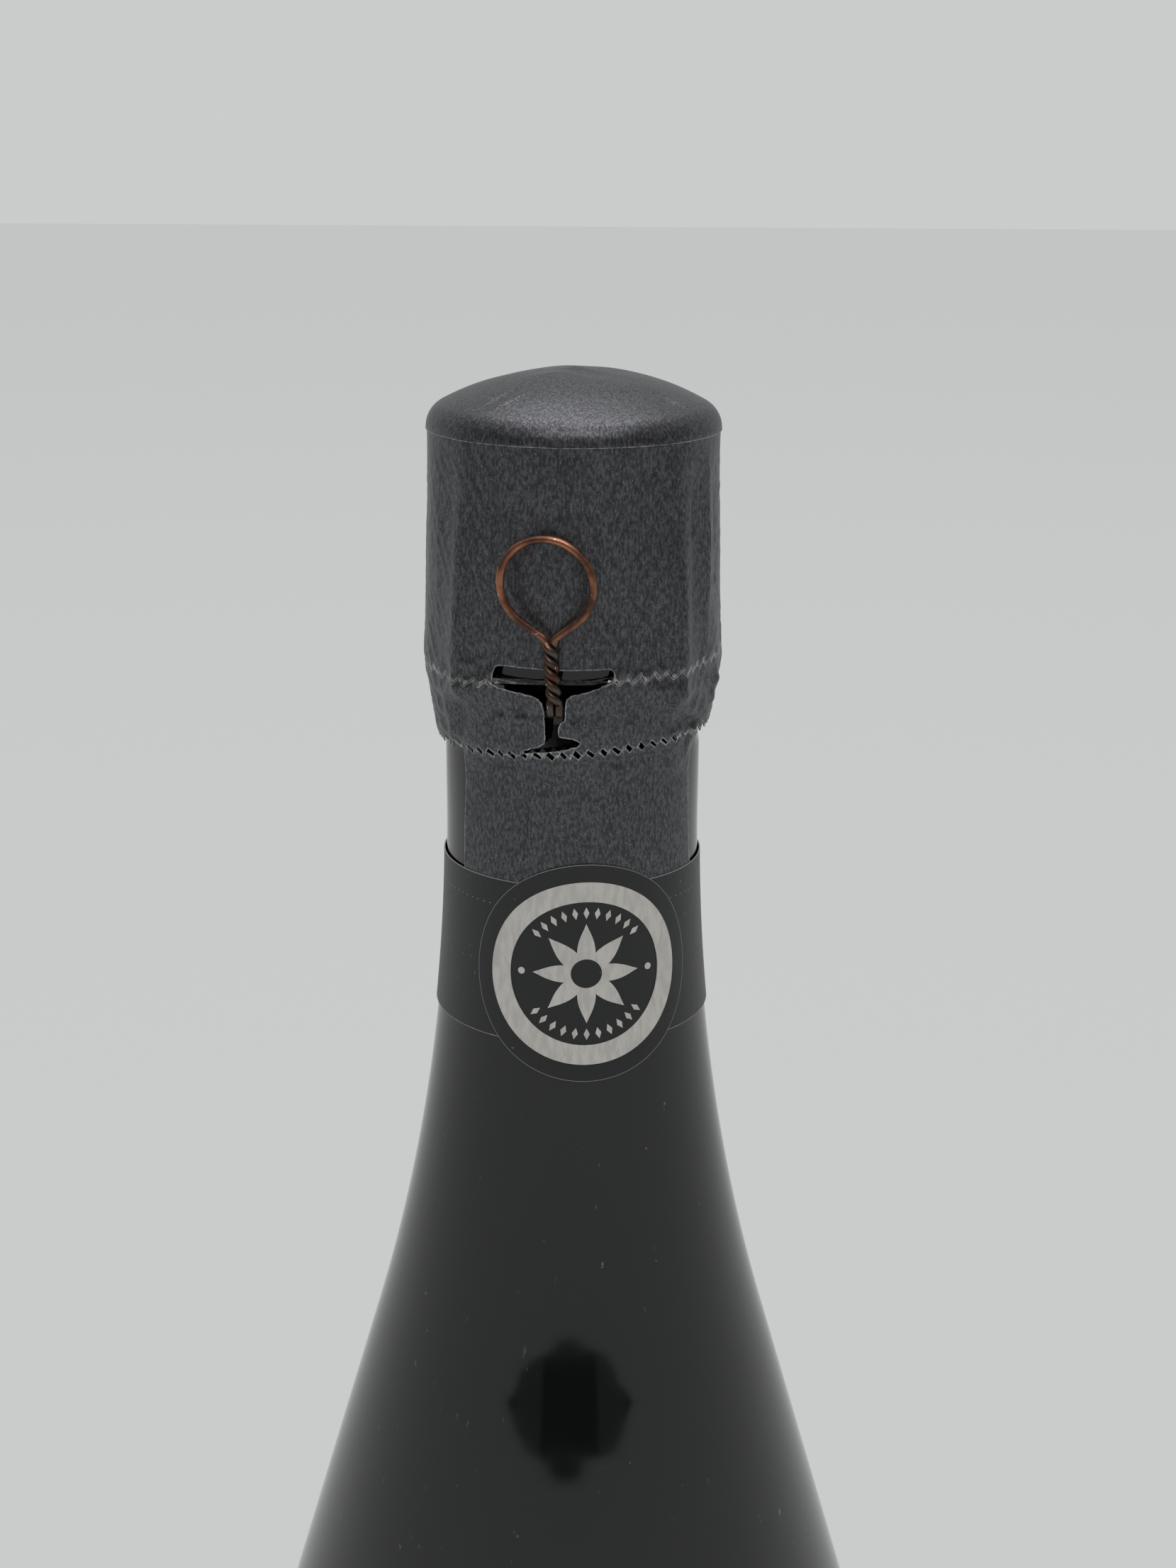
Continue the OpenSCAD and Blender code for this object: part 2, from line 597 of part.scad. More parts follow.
// Plain star with a hole at its middle
module silver_rosette() color([0.8, 0.78, 0.75])
    medal_layer(rosette_d, silver_lift, silver_t) linear_extrude(cut_reach) difference() {
        polygon([for (i = [0:2 * rosette_rays - 1])
            let (r = rosette_d / 2 * (i % 2 == 0 ? 1 : rosette_waist), a = 180 * i / rosette_rays)
            [r * cos(a), r * sin(a)]]);
        circle(d = rosette_hub_d);
    }

// A paper label on the straight body
module label(w, h) turned_part(w / body_r * 180 / PI)
    translate([body_r + layer_gap, label_z]) square([paper_t, h]);

module front_label() color([0.08, 0.08, 0.09]) label(label_w, label_h);

module back_label() color([0.08, 0.08, 0.09]) at_azimuth(180) label(back_label_w, back_label_h);

glass_bottle();
cork_body();
cork_disc_upper();
cork_disc_lower();
metal_cap();
wire_frame();
belt_wire();
wire_loop();
hood_disc();
hood_skirt();
tear_band();
foil_tongue_front();
foil_tongue_back();
collar_band();
medallion();
silver_ring();
silver_rosette();
front_label();
back_label();
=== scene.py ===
"""A corked bottle of sparkling wine: its glass, cork, wire cage, foil, collar and labels, dressed round the fixed frame."""

import logging
import math
from dataclasses import dataclass, field
from enum import Enum
from typing import Callable, Sequence

import bmesh
import bpy
import numpy as np
from mathutils import Matrix, Vector
from mathutils.geometry import delaunay_2d_cdt


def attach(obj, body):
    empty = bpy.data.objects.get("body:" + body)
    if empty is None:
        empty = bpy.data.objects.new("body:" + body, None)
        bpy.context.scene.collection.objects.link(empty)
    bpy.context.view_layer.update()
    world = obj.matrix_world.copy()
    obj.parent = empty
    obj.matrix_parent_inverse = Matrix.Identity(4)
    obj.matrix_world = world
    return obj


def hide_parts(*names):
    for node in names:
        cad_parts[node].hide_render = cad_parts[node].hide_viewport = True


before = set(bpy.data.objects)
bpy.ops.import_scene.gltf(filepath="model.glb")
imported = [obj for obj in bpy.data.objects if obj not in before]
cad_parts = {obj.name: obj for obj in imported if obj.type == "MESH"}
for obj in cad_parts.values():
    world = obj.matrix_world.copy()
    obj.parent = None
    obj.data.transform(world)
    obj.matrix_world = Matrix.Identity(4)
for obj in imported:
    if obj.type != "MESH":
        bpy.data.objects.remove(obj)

Array = np.ndarray
Colour = tuple[float, float, float]
MM = 0.001
log = logging.getLogger("bottle")


class Slot(Enum):
    """The record's material slots."""

    GLASS = "dark_glass"
    PRESSED_CORK = "agglomerated_cork"
    NATURAL_CORK = "natural_cork"
    CAP = "cap_steel"
    WIRE = "cage_wire"
    FOIL = "charcoal_foil"
    COLLAR = "black_paper"
    SILVER = "silver_stamping"
    LABEL = "label_paper"


class Body(Enum):
    """The rigid bodies that the pieces ride on."""

    BOTTLE = "bottle"
    CORK = "cork"
    CAGE = "cage"
    LOOP = "loop"
    HOOD = "hood"


# Curves and fields, in millimetres


def arc(x: float, z: float, radius: float, start: float, end: float, steps: int = 24) -> Array:
    """Points of a circle's arc: centre plus radius times (cos, sin) of evenly spaced angles.

    Args:
        x, z: The centre.
        radius: The arc's radius.
        start, end: Its first and last angle, in degrees.
        steps: How many chords it has.

    Returns:
        Points (x, z), one row each.
    """
    a = np.radians(np.linspace(start, end, steps + 1))
    return np.column_stack((x + radius * np.cos(a), z + radius * np.sin(a)))


def smooth(low: float, high: float, x: Array) -> Array:
    """Rises from 0 at low to 1 at high as 3t^2 - 2t^3."""
    t = np.clip((x - low) / (high - low), 0.0, 1.0)
    return t * t * (3.0 - 2.0 * t)


def smooth_line(x: Array, knots: Sequence[tuple[float, float]]) -> Array:
    """A curve through knots without corners: cubic Hermite pieces whose slopes are the knots' weighted mean slopes.

    Args:
        x: Where the curve is wanted.
        knots: Its (x, y) knots in rising order of x.

    Returns:
        The curve's y at each x, constant beyond the end knots.
    """
    kx, ky = np.array(knots, float).T
    step = np.diff(kx)
    rise = np.diff(ky) / step
    slope = np.concatenate(([0.0], (rise[:-1] * step[1:] + rise[1:] * step[:-1]) / (step[1:] + step[:-1]), [0.0]))
    slope[1:-1] = np.where(rise[:-1] * rise[1:] > 0, slope[1:-1], 0.0)
    x = np.clip(x, kx[0], kx[-1])
    i = np.clip(np.searchsorted(kx, x, side="right") - 1, 0, len(step) - 1)
    t = (x - kx[i]) / step[i]
    return (ky[i] * (1 + 2 * t) * (1 - t) ** 2 + slope[i] * step[i] * t * (1 - t) ** 2
            + ky[i + 1] * t * t * (3 - 2 * t) + slope[i + 1] * step[i] * t * t * (t - 1))


def waves(azimuth: Array, z: Array, seed: int, turns: tuple[int, int], rises: tuple[float, float],
          count: int = 14) -> Array:
    """A soft random field: the sum of cosines of (k azimuth + m z + phase) with random whole k, so it closes round.

    Args:
        azimuth, z: Where it is wanted, in radians and millimetres.
        seed: The random seed.
        turns: Least and greatest k.
        rises: Least and greatest m, in radians per millimetre.
        count: How many cosines are summed.

    Returns:
        The field, with a spread of about 1.
    """
    rng = np.random.default_rng(seed)
    k = rng.integers(turns[0], turns[1] + 1, count)
    m = rng.uniform(rises[0], rises[1], count) * rng.choice((-1.0, 1.0), count)
    phase = rng.uniform(0, 2 * np.pi, count)
    shape = (count,) + (1,) * np.ndim(azimuth)
    total = np.cos(k.reshape(shape) * azimuth + m.reshape(shape) * z + phase.reshape(shape)).sum(0)
    return total * math.sqrt(2.0 / count)


def on_axis(radius: Array, azimuth: Array, z: Array) -> Array:
    """Points at a radius, azimuth and height: x is radius sin azimuth and y is minus radius cos azimuth."""
    return np.stack((radius * np.sin(azimuth), -radius * np.cos(azimuth), z + 0.0 * azimuth), axis=-1)


# Meshes


def mesh_object(name: str, points: Array, faces: Array, sharp: float = 35.0, close: bool = True) -> bpy.types.Object:
    """Makes a smooth shaded mesh object out of points and faces.

    Args:
        name: The object's name.
        points: Vertices in millimetres, one row each.
        faces: Vertex numbers, one row per face.
        sharp: Edges bent more than this many degrees stay sharp.
        close: Whether doubled points are merged and the faces turned outwards.

    Returns:
        The object, at the origin.
    """
    mesh = bpy.data.meshes.new(name)
    corners = faces.shape[1]
    mesh.vertices.add(len(points))
    mesh.vertices.foreach_set("co", (points * MM).astype(np.float32).ravel())
    mesh.loops.add(faces.size)
    mesh.loops.foreach_set("vertex_index", faces.astype(np.int32).ravel())
    mesh.polygons.add(len(faces))
    mesh.polygons.foreach_set("loop_start", np.arange(0, faces.size, corners, dtype=np.int32))
    mesh.update(calc_edges=True)
    mesh.validate()
    if close:
        made = bmesh.new()
        made.from_mesh(mesh)
        bmesh.ops.remove_doubles(made, verts=made.verts, dist=1e-7)
        bmesh.ops.recalc_face_normals(made, faces=made.faces)
        made.to_mesh(mesh)
        made.free()
    mesh.shade_smooth()
    mesh.set_sharp_from_angle(angle=math.radians(sharp))
    piece = bpy.data.objects.new(name, mesh)
    bpy.context.scene.collection.objects.link(piece)
    return piece


def grid_faces(rows: int, cols: int, wrap_rows: bool = False, wrap_cols: bool = False) -> Array:
    """Quads between the neighbours of a grid, row by row, which may close on itself either way.

    Args:
        rows, cols: The grid's size in points.
        wrap_rows, wrap_cols: Whether the last row or column joins the first.

    Returns:
        Four point numbers per face.
    """
    i, j = np.meshgrid(np.arange(rows - (not wrap_rows)), np.arange(cols - (not wrap_cols)), indexing="ij")
    i2, j2 = (i + 1) % rows, (j + 1) % cols
    return np.stack((i * cols + j, i * cols + j2, i2 * cols + j2, i2 * cols + j), axis=-1).reshape(-1, 4)


def turned(name: str, outline: Array, closed: bool, around: int = 192, sharp: float = 35.0) -> bpy.types.Object:
    """Revolves an outline of (radius, z) about the axis: each point goes to (r sin a, -r cos a, z) for even angles a.

    Args:
        name: The object's name.
        outline: Points in millimetres.
        closed: Whether the outline is a loop; otherwise it starts and ends on the axis.
        around: Steps round the axis.
        sharp: Edges bent more than this many degrees stay sharp.

    Returns:
        The object.
    """
    a = np.arange(around) * 2 * np.pi / around
    points = on_axis(outline[:, :1], a[None, :], outline[:, 1:])
    return mesh_object(name, points.reshape(-1, 3), grid_faces(len(outline), around, closed, True), sharp)


def tube(name: str, path: Array, radius: float, sides: int = 14) -> bpy.types.Object:
    """A round wire: circles of the radius stand square to the path, each turned as little as can be from the last.

    Args:
        name: The object's name.
        path: The wire's middle line in millimetres.
        radius: The wire's radius.
        sides: Sides of the circles.

    Returns:
        The object, with rounded ends.
    """
    heading = np.gradient(path, axis=0)
    heading /= np.linalg.norm(heading, axis=1, keepdims=True)
    side = np.empty_like(path)
    start = np.cross(heading[0], (0.0, 0.0, 1.0) if abs(heading[0, 2]) < 0.9 else (1.0, 0.0, 0.0))
    for i, along in enumerate(heading):
        start = start - (start @ along) * along
        start = start / np.linalg.norm(start)
        side[i] = start
    other = np.cross(heading, side)
    cap = np.array([(0.0, 1.0), (0.5, 0.85), (1.0, 0.0)]) * (0.35 * radius, radius)
    ends = [(path[0] - heading[0] * b, 0, w) for b, w in cap[::-1]], [(path[-1] + heading[-1] * b, -1, w) for b, w in cap]
    centre = np.vstack([[p for p, _, _ in ends[0]], path, [p for p, _, _ in ends[1]]])
    width = np.concatenate(([w for _, _, w in ends[0]], np.full(len(path), radius), [w for _, _, w in ends[1]]))
    side = np.vstack((np.repeat(side[:1], 3, 0), side, np.repeat(side[-1:], 3, 0)))
    other = np.vstack((np.repeat(other[:1], 3, 0), other, np.repeat(other[-1:], 3, 0)))
    a = np.arange(sides) * 2 * np.pi / sides
    ring = np.cos(a)[None, :, None] * side[:, None] + np.sin(a)[None, :, None] * other[:, None]
    points = centre[:, None] + ring * width[:, None, None]
    return mesh_object(name, points.reshape(-1, 3), grid_faces(len(centre), sides, False, True))


def inside(points: Array, outline: Array) -> Array:
    """Which points lie in an outline, by counting how often a line to the right of each crosses it.

    Args:
        points: Points (s, z), one row each.
        outline: The closed outline's corners.

    Returns:
        True for each point that is inside.
    """
    odd = np.zeros(len(points), bool)
    for (x0, z0), (x1, z1) in zip(outline, np.roll(outline, -1, 0)):
        spans = (z0 > points[:, 1]) != (z1 > points[:, 1])
        odd ^= spans & (points[:, 0] < (x1 - x0) * (points[:, 1] - z0) / (z1 - z0 + 1e-12) + x0)
    return odd


def distance_to(points: Array, line: Array, closed: bool = True) -> Array:
    """How far points lie from a broken line: the least distance to any of its segments.

    Args:
        points: Points (s, z), one row each.
        line: The line's corners.
        closed: Whether its last corner joins the first.

    Returns:
        One distance per point.
    """
    ends = np.roll(line, -1, 0) if closed else line[1:]
    least = np.full(len(points), np.inf)
    for p, q in zip(line, ends):
        d = q - p
        t = np.clip(((points - p) @ d) / max(d @ d, 1e-12), 0, 1)
        least = np.minimum(least, np.hypot(*(points - p - t[:, None] * d).T))
    return least


Form = Callable[[Array, Array], Array]


@dataclass
class Sheet:
    """Foil or paper cut out of a flat plane and laid on the bottle.

    The plane has s, the way round at radius unroll, and z. It is filled with a grid, cut exactly along its border and
    its holes, and each point then goes to the radius that a form gives for its azimuth s / unroll and its height.
    """

    name: str
    border: Array
    form: Form
    thickness: float
    holes: list[Array] = field(default_factory=list)
    bright: list[Array] = field(default_factory=list)
    step: float = 0.3
    unroll: float = 18.0
    lift: Form | None = None
    sharp: float = 40.0

    def flat_points(self) -> tuple[Array, list[tuple[int, int]]]:
        """The plane's points: border and hole corners, then the grid points that lie clear of them.

        Returns:
            The points and the edges that cuts follow.
        """
        lines = [self.border, *self.holes]
        edges, start = [], 0
        for line in lines:
            n = len(line)
            edges += [(start + i, start + (i + 1) % n) for i in range(n)]
            start += n
        low, high = self.border.min(0), self.border.max(0)
        count = np.maximum(np.round((high - low) / self.step).astype(int), 2)
        s, z = np.meshgrid(*(np.linspace(a, b, n + 1)[1:-1] for a, b, n in zip(low, high, count)), indexing="ij")
        z = z + 0.5 * (np.arange(z.shape[0]) % 2)[:, None] * (high[1] - low[1]) / count[1]
        grid = np.column_stack((s.ravel(), z.ravel()))
        grid = grid[inside(grid, self.border)]
        room = 0.45 * self.step
        for line in lines:
            near = np.all((grid > line.min(0) - room) & (grid < line.max(0) + room), axis=1)
            keep = np.ones(len(grid), bool)
            keep[near] = distance_to(grid[near], line) > room
            grid = grid[keep]
        return np.vstack([*lines, grid]), edges

    def build(self) -> bpy.types.Object:
        """Cuts the sheet, lays it on its form and gives it its thickness, with a rim of its second material.

        Returns:
            The piece, with the attribute cut_edge, 1 on a cut and 0 beyond half a millimetre of it.
        """
        flat, edges = self.flat_points()
        made = delaunay_2d_cdt([Vector(p) for p in flat], edges, [], 0, 1e-6)
        points, faces = np.array([tuple(p) for p in made[0]]), np.array(made[2])
        middle = points[faces].mean(1)
        kept = inside(middle, self.border)
        for hole in self.holes:
            kept &= ~inside(middle, hole)
        faces = faces[kept]
        azimuth = points[:, 0] / self.unroll
        z = points[:, 1] + (self.lift(azimuth, points[:, 1]) if self.lift else 0.0)
        piece = mesh_object(self.name, on_axis(self.form(azimuth, z), azimuth, z), faces, close=False)
        cuts = self.bright or [self.border, *self.holes]
        gap = np.min([distance_to(points, line, len(line) > 2) for line in cuts], axis=0)
        near = piece.data.attributes.new("cut_edge", "FLOAT", "POINT")
        near.data.foreach_set("value", np.clip(1 - gap / 0.5, 0, 1).astype(np.float32))
        self.thicken(piece)
        return piece

    def thicken(self, piece: bpy.types.Object) -> None:
        """Merges the sheet's ends where they meet and gives it its wall inwards.

        Args:
            piece: The sheet as a single layer.
        """
        made = bmesh.new()
        made.from_mesh(piece.data)
        bmesh.ops.remove_doubles(made, verts=made.verts, dist=2e-7)
        loose = [v for v in made.verts if not v.link_faces]
        bmesh.ops.delete(made, geom=loose, context="VERTS")
        outward = sum(f.normal.dot(Vector((f.calc_center_median().x, f.calc_center_median().y, 0))) for f in made.faces)
        if outward < 0:
            bmesh.ops.reverse_faces(made, faces=made.faces)
        made.to_mesh(piece.data)
        made.free()
        wall = piece.modifiers.new("wall", "SOLIDIFY")
        wall.thickness = self.thickness * MM
        wall.offset = -1.0
        wall.use_even_offset = True
        wall.material_offset_rim = 1
        settle(piece, self.sharp)


def settle(piece: bpy.types.Object, sharp: float) -> None:
    """Applies a piece's modifiers and marks its sharp edges.

    Args:
        piece: The piece.
        sharp: Edges bent more than this many degrees stay sharp.
    """
    graph = bpy.context.evaluated_depsgraph_get()
    done = bpy.data.meshes.new_from_object(piece.evaluated_get(graph))
    piece.modifiers.clear()
    old, piece.data = piece.data, done
    bpy.data.meshes.remove(old)
    done.name = piece.name
    done.shade_smooth()
    done.set_sharp_from_angle(angle=math.radians(sharp))


# Shaders


class Num:
    """A number socket of a node tree that takes part in Python expressions."""

    def __init__(self, tree: bpy.types.NodeTree, socket: bpy.types.NodeSocket) -> None:
        """Wraps a socket of a tree."""
        self.tree = tree
        self.socket = socket

    def _math(self, operation: str, *values: "Num | float") -> "Num":
        """Adds a Math node of the operation on the values."""
        node = self.tree.nodes.new("ShaderNodeMath")
        node.operation = operation
        for slot, value in zip(node.inputs, values):
            if isinstance(value, Num):
                self.tree.links.new(value.socket, slot)
            else:
                slot.default_value = value
        return Num(self.tree, node.outputs[0])

    def __add__(self, other: "Num | float") -> "Num":
        """Self plus other."""
        return self._math("ADD", self, other)

    def __radd__(self, other: float) -> "Num":
        """Other plus self."""
        return self._math("ADD", other, self)

    def __sub__(self, other: "Num | float") -> "Num":
        """Self minus other."""
        return self._math("SUBTRACT", self, other)

    def __rsub__(self, other: float) -> "Num":
        """Other minus self."""
        return self._math("SUBTRACT", other, self)

    def __mul__(self, other: "Num | float") -> "Num":
        """Self times other."""
        return self._math("MULTIPLY", self, other)

    def __rmul__(self, other: float) -> "Num":
        """Other times self."""
        return self._math("MULTIPLY", other, self)

    def __truediv__(self, other: "Num | float") -> "Num":
        """Self divided by other."""
        return self._math("DIVIDE", self, other)

    def __pow__(self, other: float) -> "Num":
        """Self to the power of other."""
        return self._math("POWER", self, other)

    def over(self, low: float, high: float) -> "Num":
        """Rises smoothly from 0 where this is low to 1 where it is high."""
        node = self.tree.nodes.new("ShaderNodeMapRange")
        node.interpolation_type = "SMOOTHSTEP"
        self.tree.links.new(self.socket, node.inputs["Value"])
        node.inputs["From Min"].default_value = low
        node.inputs["From Max"].default_value = high
        return Num(self.tree, node.outputs["Result"])

    def most(self, other: "Num | float") -> "Num":
        """The greater of this and other."""
        return self._math("MAXIMUM", self, other)


class Recipe:
    """Builds the nodes of one material or of the world."""

    def __init__(self, tree: bpy.types.NodeTree) -> None:
        """Starts with an empty tree."""
        self.tree = tree
        tree.nodes.clear()

    def node(self, kind: str, settings: dict | None = None, inputs: dict | None = None) -> bpy.types.Node:
        """Adds a node of any type.

        Args:
            kind: Its type, such as ShaderNodeTexNoise.
            settings: Its properties, set before its sockets.
            inputs: A value, socket or Num for each socket, by name or number.

        Returns:
            The node.
        """
        made = self.tree.nodes.new(kind)
        for key, value in (settings or {}).items():
            setattr(made, key, value)
        for key, value in (inputs or {}).items():
            slot = made.inputs[key]
            if isinstance(value, Num):
                self.tree.links.new(value.socket, slot)
            elif isinstance(value, bpy.types.NodeSocket):
                self.tree.links.new(value, slot)
            elif slot.type == "RGBA" and len(value) == 3:
                slot.default_value = (*value, 1.0)
            else:
                slot.default_value = value
        return made

    def place(self, stretch: Colour = (1.0, 1.0, 1.0)) -> bpy.types.NodeSocket:
        """Object coordinates in metres, scaled along each axis."""
        where = self.node("ShaderNodeTexCoord").outputs["Object"]
        return self.node("ShaderNodeMapping", inputs={"Vector": where, "Scale": stretch}).outputs[0]

    def noise(self, scale: float, detail: float = 2.0, stretch: Colour = (1.0, 1.0, 1.0), rough: float = 0.5) -> Num:
        """Noise on Object coordinates.

        Args:
            scale: Features per metre.
            detail: Octaves added to it.
            stretch: Scale along each axis, below 1 for long features.
            rough: How strongly the octaves count.

        Returns:
            The noise, about 0.5 on average.
        """
        made = self.node("ShaderNodeTexNoise", inputs={
            "Vector": self.place(stretch), "Scale": scale, "Detail": detail, "Roughness": rough})
        return Num(self.tree, made.outputs[0])

    def cells(self, scale: float, feature: str = "F1", output: str = "Distance", stretch: Colour = (1.0, 1.0, 1.0)) -> Num:
        """Voronoi cells on Object coordinates."""
        made = self.node("ShaderNodeTexVoronoi", {"feature": feature}, {"Vector": self.place(stretch), "Scale": scale})
        return Num(self.tree, made.outputs[output])

    def attribute(self, name: str) -> Num:
        """A number that the mesh holds at each point."""
        return Num(self.tree, self.node("ShaderNodeAttribute", {"attribute_name": name}).outputs["Fac"])

    def height(self) -> Num:
        """The height on the object, in metres."""
        split = self.node("ShaderNodeSeparateXYZ", inputs={"Vector": self.node("ShaderNodeTexCoord").outputs["Object"]})
        return Num(self.tree, split.outputs["Z"])

    def blend(self, share: Num | float, first: Colour | bpy.types.NodeSocket,
              second: Colour | bpy.types.NodeSocket) -> bpy.types.NodeSocket:
        """A colour between first, at share 0, and second, at share 1."""
        made = self.node("ShaderNodeMix", {"data_type": "RGBA"}, {0: share, 6: first, 7: second})
        return made.outputs[2]

    def relief(self, height: Num, depth: float, under: bpy.types.NodeSocket | None = None) -> bpy.types.NodeSocket:
        """Bump that raises the surface by a height field.

        Args:
            height: The field, from 0 to 1.
            depth: What 1 raises the surface by, in metres.
            under: A normal to start from.

        Returns:
            The bent normal.
        """
        inputs = {"Height": height, "Distance": depth, "Strength": 1.0}
        if under is not None:
            inputs["Normal"] = under
        return self.node("ShaderNodeBump", inputs=inputs).outputs[0]

    def surface(self, inputs: dict) -> None:
        """Ends the tree with a Principled surface of these inputs."""
        shader = self.node("ShaderNodeBsdfPrincipled", inputs=inputs)
        self.node("ShaderNodeOutputMaterial", inputs={"Surface": shader.outputs[0]})


def new_recipe(name: str) -> tuple[bpy.types.Material, Recipe]:
    """A new material and the recipe for its nodes."""
    material = bpy.data.materials.new(name)
    material.use_nodes = True
    return material, Recipe(material.node_tree)


@dataclass(frozen=True)
class GlassFinish:
    """Nearly black bottle glass with faint dust and hairline scratches."""

    colour: Colour = (0.0035, 0.0045, 0.004)
    dust: Colour = (0.10, 0.11, 0.11)
    roughness: float = 0.035

    def material(self) -> bpy.types.Material:
        """Makes the material."""
        made, r = new_recipe("bottle_glass")
        fleck = r.noise(900.0, 3.0, (1.0, 1.0, 0.7)).over(0.735, 0.78)
        scratch = r.noise(420.0, 2.0, (2.4, 2.4, 0.4)).over(0.715, 0.74) * r.noise(90.0, 1.0).over(0.5, 0.62)
        soil = fleck.most(scratch * 0.5)
        haze = r.noise(14.0, 3.0)
        r.surface({
            "Base Color": r.blend(soil, self.colour, self.dust),
            "Roughness": self.roughness + haze * 0.02 + soil * 0.3,
            "IOR": 1.52,
            "Normal": r.relief(r.noise(55.0, 2.0), 0.00006)})
        return made


@dataclass(frozen=True)
class FoilFinish:
    """Charcoal foil laminate: a fine upright grain, metallic sparkle, and worn light cut edges."""

    dark: Colour = (0.055, 0.055, 0.062)
    light: Colour = (0.13, 0.13, 0.14)
    sparkle: Colour = (0.5, 0.5, 0.5)
    worn: Colour = (0.42, 0.42, 0.41)
    metallic: float = 0.85
    roughness: float = 0.36

    def material(self) -> bpy.types.Material:
        """Makes the material."""
        made, r = new_recipe("charcoal_foil")
        grain = r.noise(3600.0, 2.0, (1.0, 1.0, 0.42))
        spark = r.noise(7800.0, 1.0, (1.0, 1.0, 0.6)).over(0.66, 0.76)
        cloud = r.noise(60.0, 3.0)
        tone = r.blend(grain.over(0.35, 0.7), self.dark, self.light)
        tone = r.blend(spark * 0.55, tone, self.sparkle)
        edge = r.attribute("cut_edge")
        wear = edge.over(0.62, 0.95) * (0.35 + 0.65 * r.noise(1500.0, 2.0).over(0.4, 0.6))
        r.surface({
            "Base Color": r.blend(wear, tone, self.worn),
            "Metallic": self.metallic,
            "Roughness": self.roughness + (cloud - 0.5) * 0.16 + grain * 0.08,
            "Normal": r.relief(grain, 0.00004)})
        return made


@dataclass(frozen=True)
class EdgeFinish:
    """The bare cut edge of foil or paper."""

    name: str
    colour: Colour
    metallic: float
    roughness: float = 0.45

    def material(self) -> bpy.types.Material:
        """Makes the material."""
        made, r = new_recipe(self.name)
        fibre = r.noise(2500.0, 2.0).over(0.3, 0.7)
        shade = tuple(c * 0.6 for c in self.colour)
        r.surface({
            "Base Color": r.blend(fibre, shade, self.colour),
            "Metallic": self.metallic,
            "Roughness": self.roughness + fibre * 0.1})
        return made


@dataclass(frozen=True)
class WireFinish:
    """Copper-brown lacquered wire with rubbed bright spots, and painted shade: darker and greyer low down, where it
    lies in the slot under the foil.
    """

    copper: Colour = (0.40, 0.17, 0.10)
    brown: Colour = (0.10, 0.05, 0.035)
    grey: Colour = (0.10, 0.085, 0.075)
    rubbed: Colour = (0.75, 0.66, 0.58)
    # Heights in metres over which the painted shade of the low wire fades out.
    low: float = 0.2885
    high: float = 0.2925

    def material(self) -> bpy.types.Material:
        """Makes the material."""
        made, r = new_recipe("cage_wire")
        patina = r.noise(260.0, 3.0).over(0.36, 0.62)
        tone = r.blend(patina, self.brown, self.copper)
        # Painted shade: below these heights the wire, in the slot under the foil, takes a darker, greyer tone.
        out_of_painted_shade = r.height().over(self.low, self.high)
        tone = r.blend(out_of_painted_shade, r.blend(r.noise(700.0, 2.0).over(0.4, 0.62), self.grey, self.brown), tone)
        spots = r.noise(2200.0, 2.0).over(0.71, 0.75)
        r.surface({
            "Base Color": r.blend(spots, tone, self.rubbed),
            "Metallic": 0.92,
            "Roughness": 0.3 + (1 - patina) * 0.12,
            "Normal": r.relief(r.noise(1800.0, 2.0), 0.00002)})
        return made


@dataclass(frozen=True)
class PaperFinish:
    """Satin black printed paper with a light worn edge."""

    name: str = "black_paper"
    ink: Colour = (0.011, 0.011, 0.012)
    worn: Colour = (0.45, 0.45, 0.44)
    roughness: float = 0.42

    def material(self) -> bpy.types.Material:
        """Makes the material."""
        made, r = new_recipe(self.name)
        fibre = r.noise(1900.0, 3.0)
        specks = r.noise(1400.0, 1.0).over(0.775, 0.79)
        wear = r.attribute("cut_edge").over(0.8, 0.98) * 0.6
        tone = r.blend(specks * 0.5, self.ink, (0.2, 0.2, 0.2))
        r.surface({
            "Base Color": r.blend(wear, tone, self.worn),
            "Roughness": self.roughness + (fibre - 0.5) * 0.12,
            "Normal": r.relief(fibre, 0.000012)})
        return made


@dataclass(frozen=True)
class SilverFinish:
    """Pale stamped silver with a fine brushed grain."""

    tone: Colour = (0.60, 0.575, 0.545)
    shade: Colour = (0.50, 0.475, 0.45)

    def material(self) -> bpy.types.Material:
        """Makes the material."""
        made, r = new_recipe("stamped_silver")
        brushed = r.noise(1400.0, 3.0, (1.0, 1.0, 0.3))
        r.surface({
            "Base Color": r.blend(brushed.over(0.35, 0.65), self.shade, self.tone),
            "Metallic": 0.35,
            "Roughness": 0.42 + (brushed - 0.5) * 0.2,
            "Normal": r.relief(brushed, 0.000012)})
        return made


@dataclass(frozen=True)
class CorkFinish:
    """Cork, pressed from granules or cut whole with pores."""

    name: str
    light: Colour
    dark: Colour
    grain: float
    pores: float

    def material(self) -> bpy.types.Material:
        """Makes the material."""
        made, r = new_recipe(self.name)
        grains = r.cells(self.grain, "F1", "Distance")
        shade = r.noise(self.grain * 0.6, 2.0)
        pore = r.noise(self.grain * 1.4, 2.0, (1.0, 1.0, 0.5)).over(self.pores, self.pores + 0.05)
        tone = r.blend(shade.over(0.3, 0.7), self.dark, self.light)
        tone = r.blend(pore, tone, tuple(c * 0.35 for c in self.dark))
        relief = r.relief(grains.over(0.0, 0.6), 0.00004)
        r.surface({
            "Base Color": tone,
            "Roughness": 0.78 + pore * 0.1,
            "Normal": r.relief(1 - pore, 0.00012, relief)})
        return made


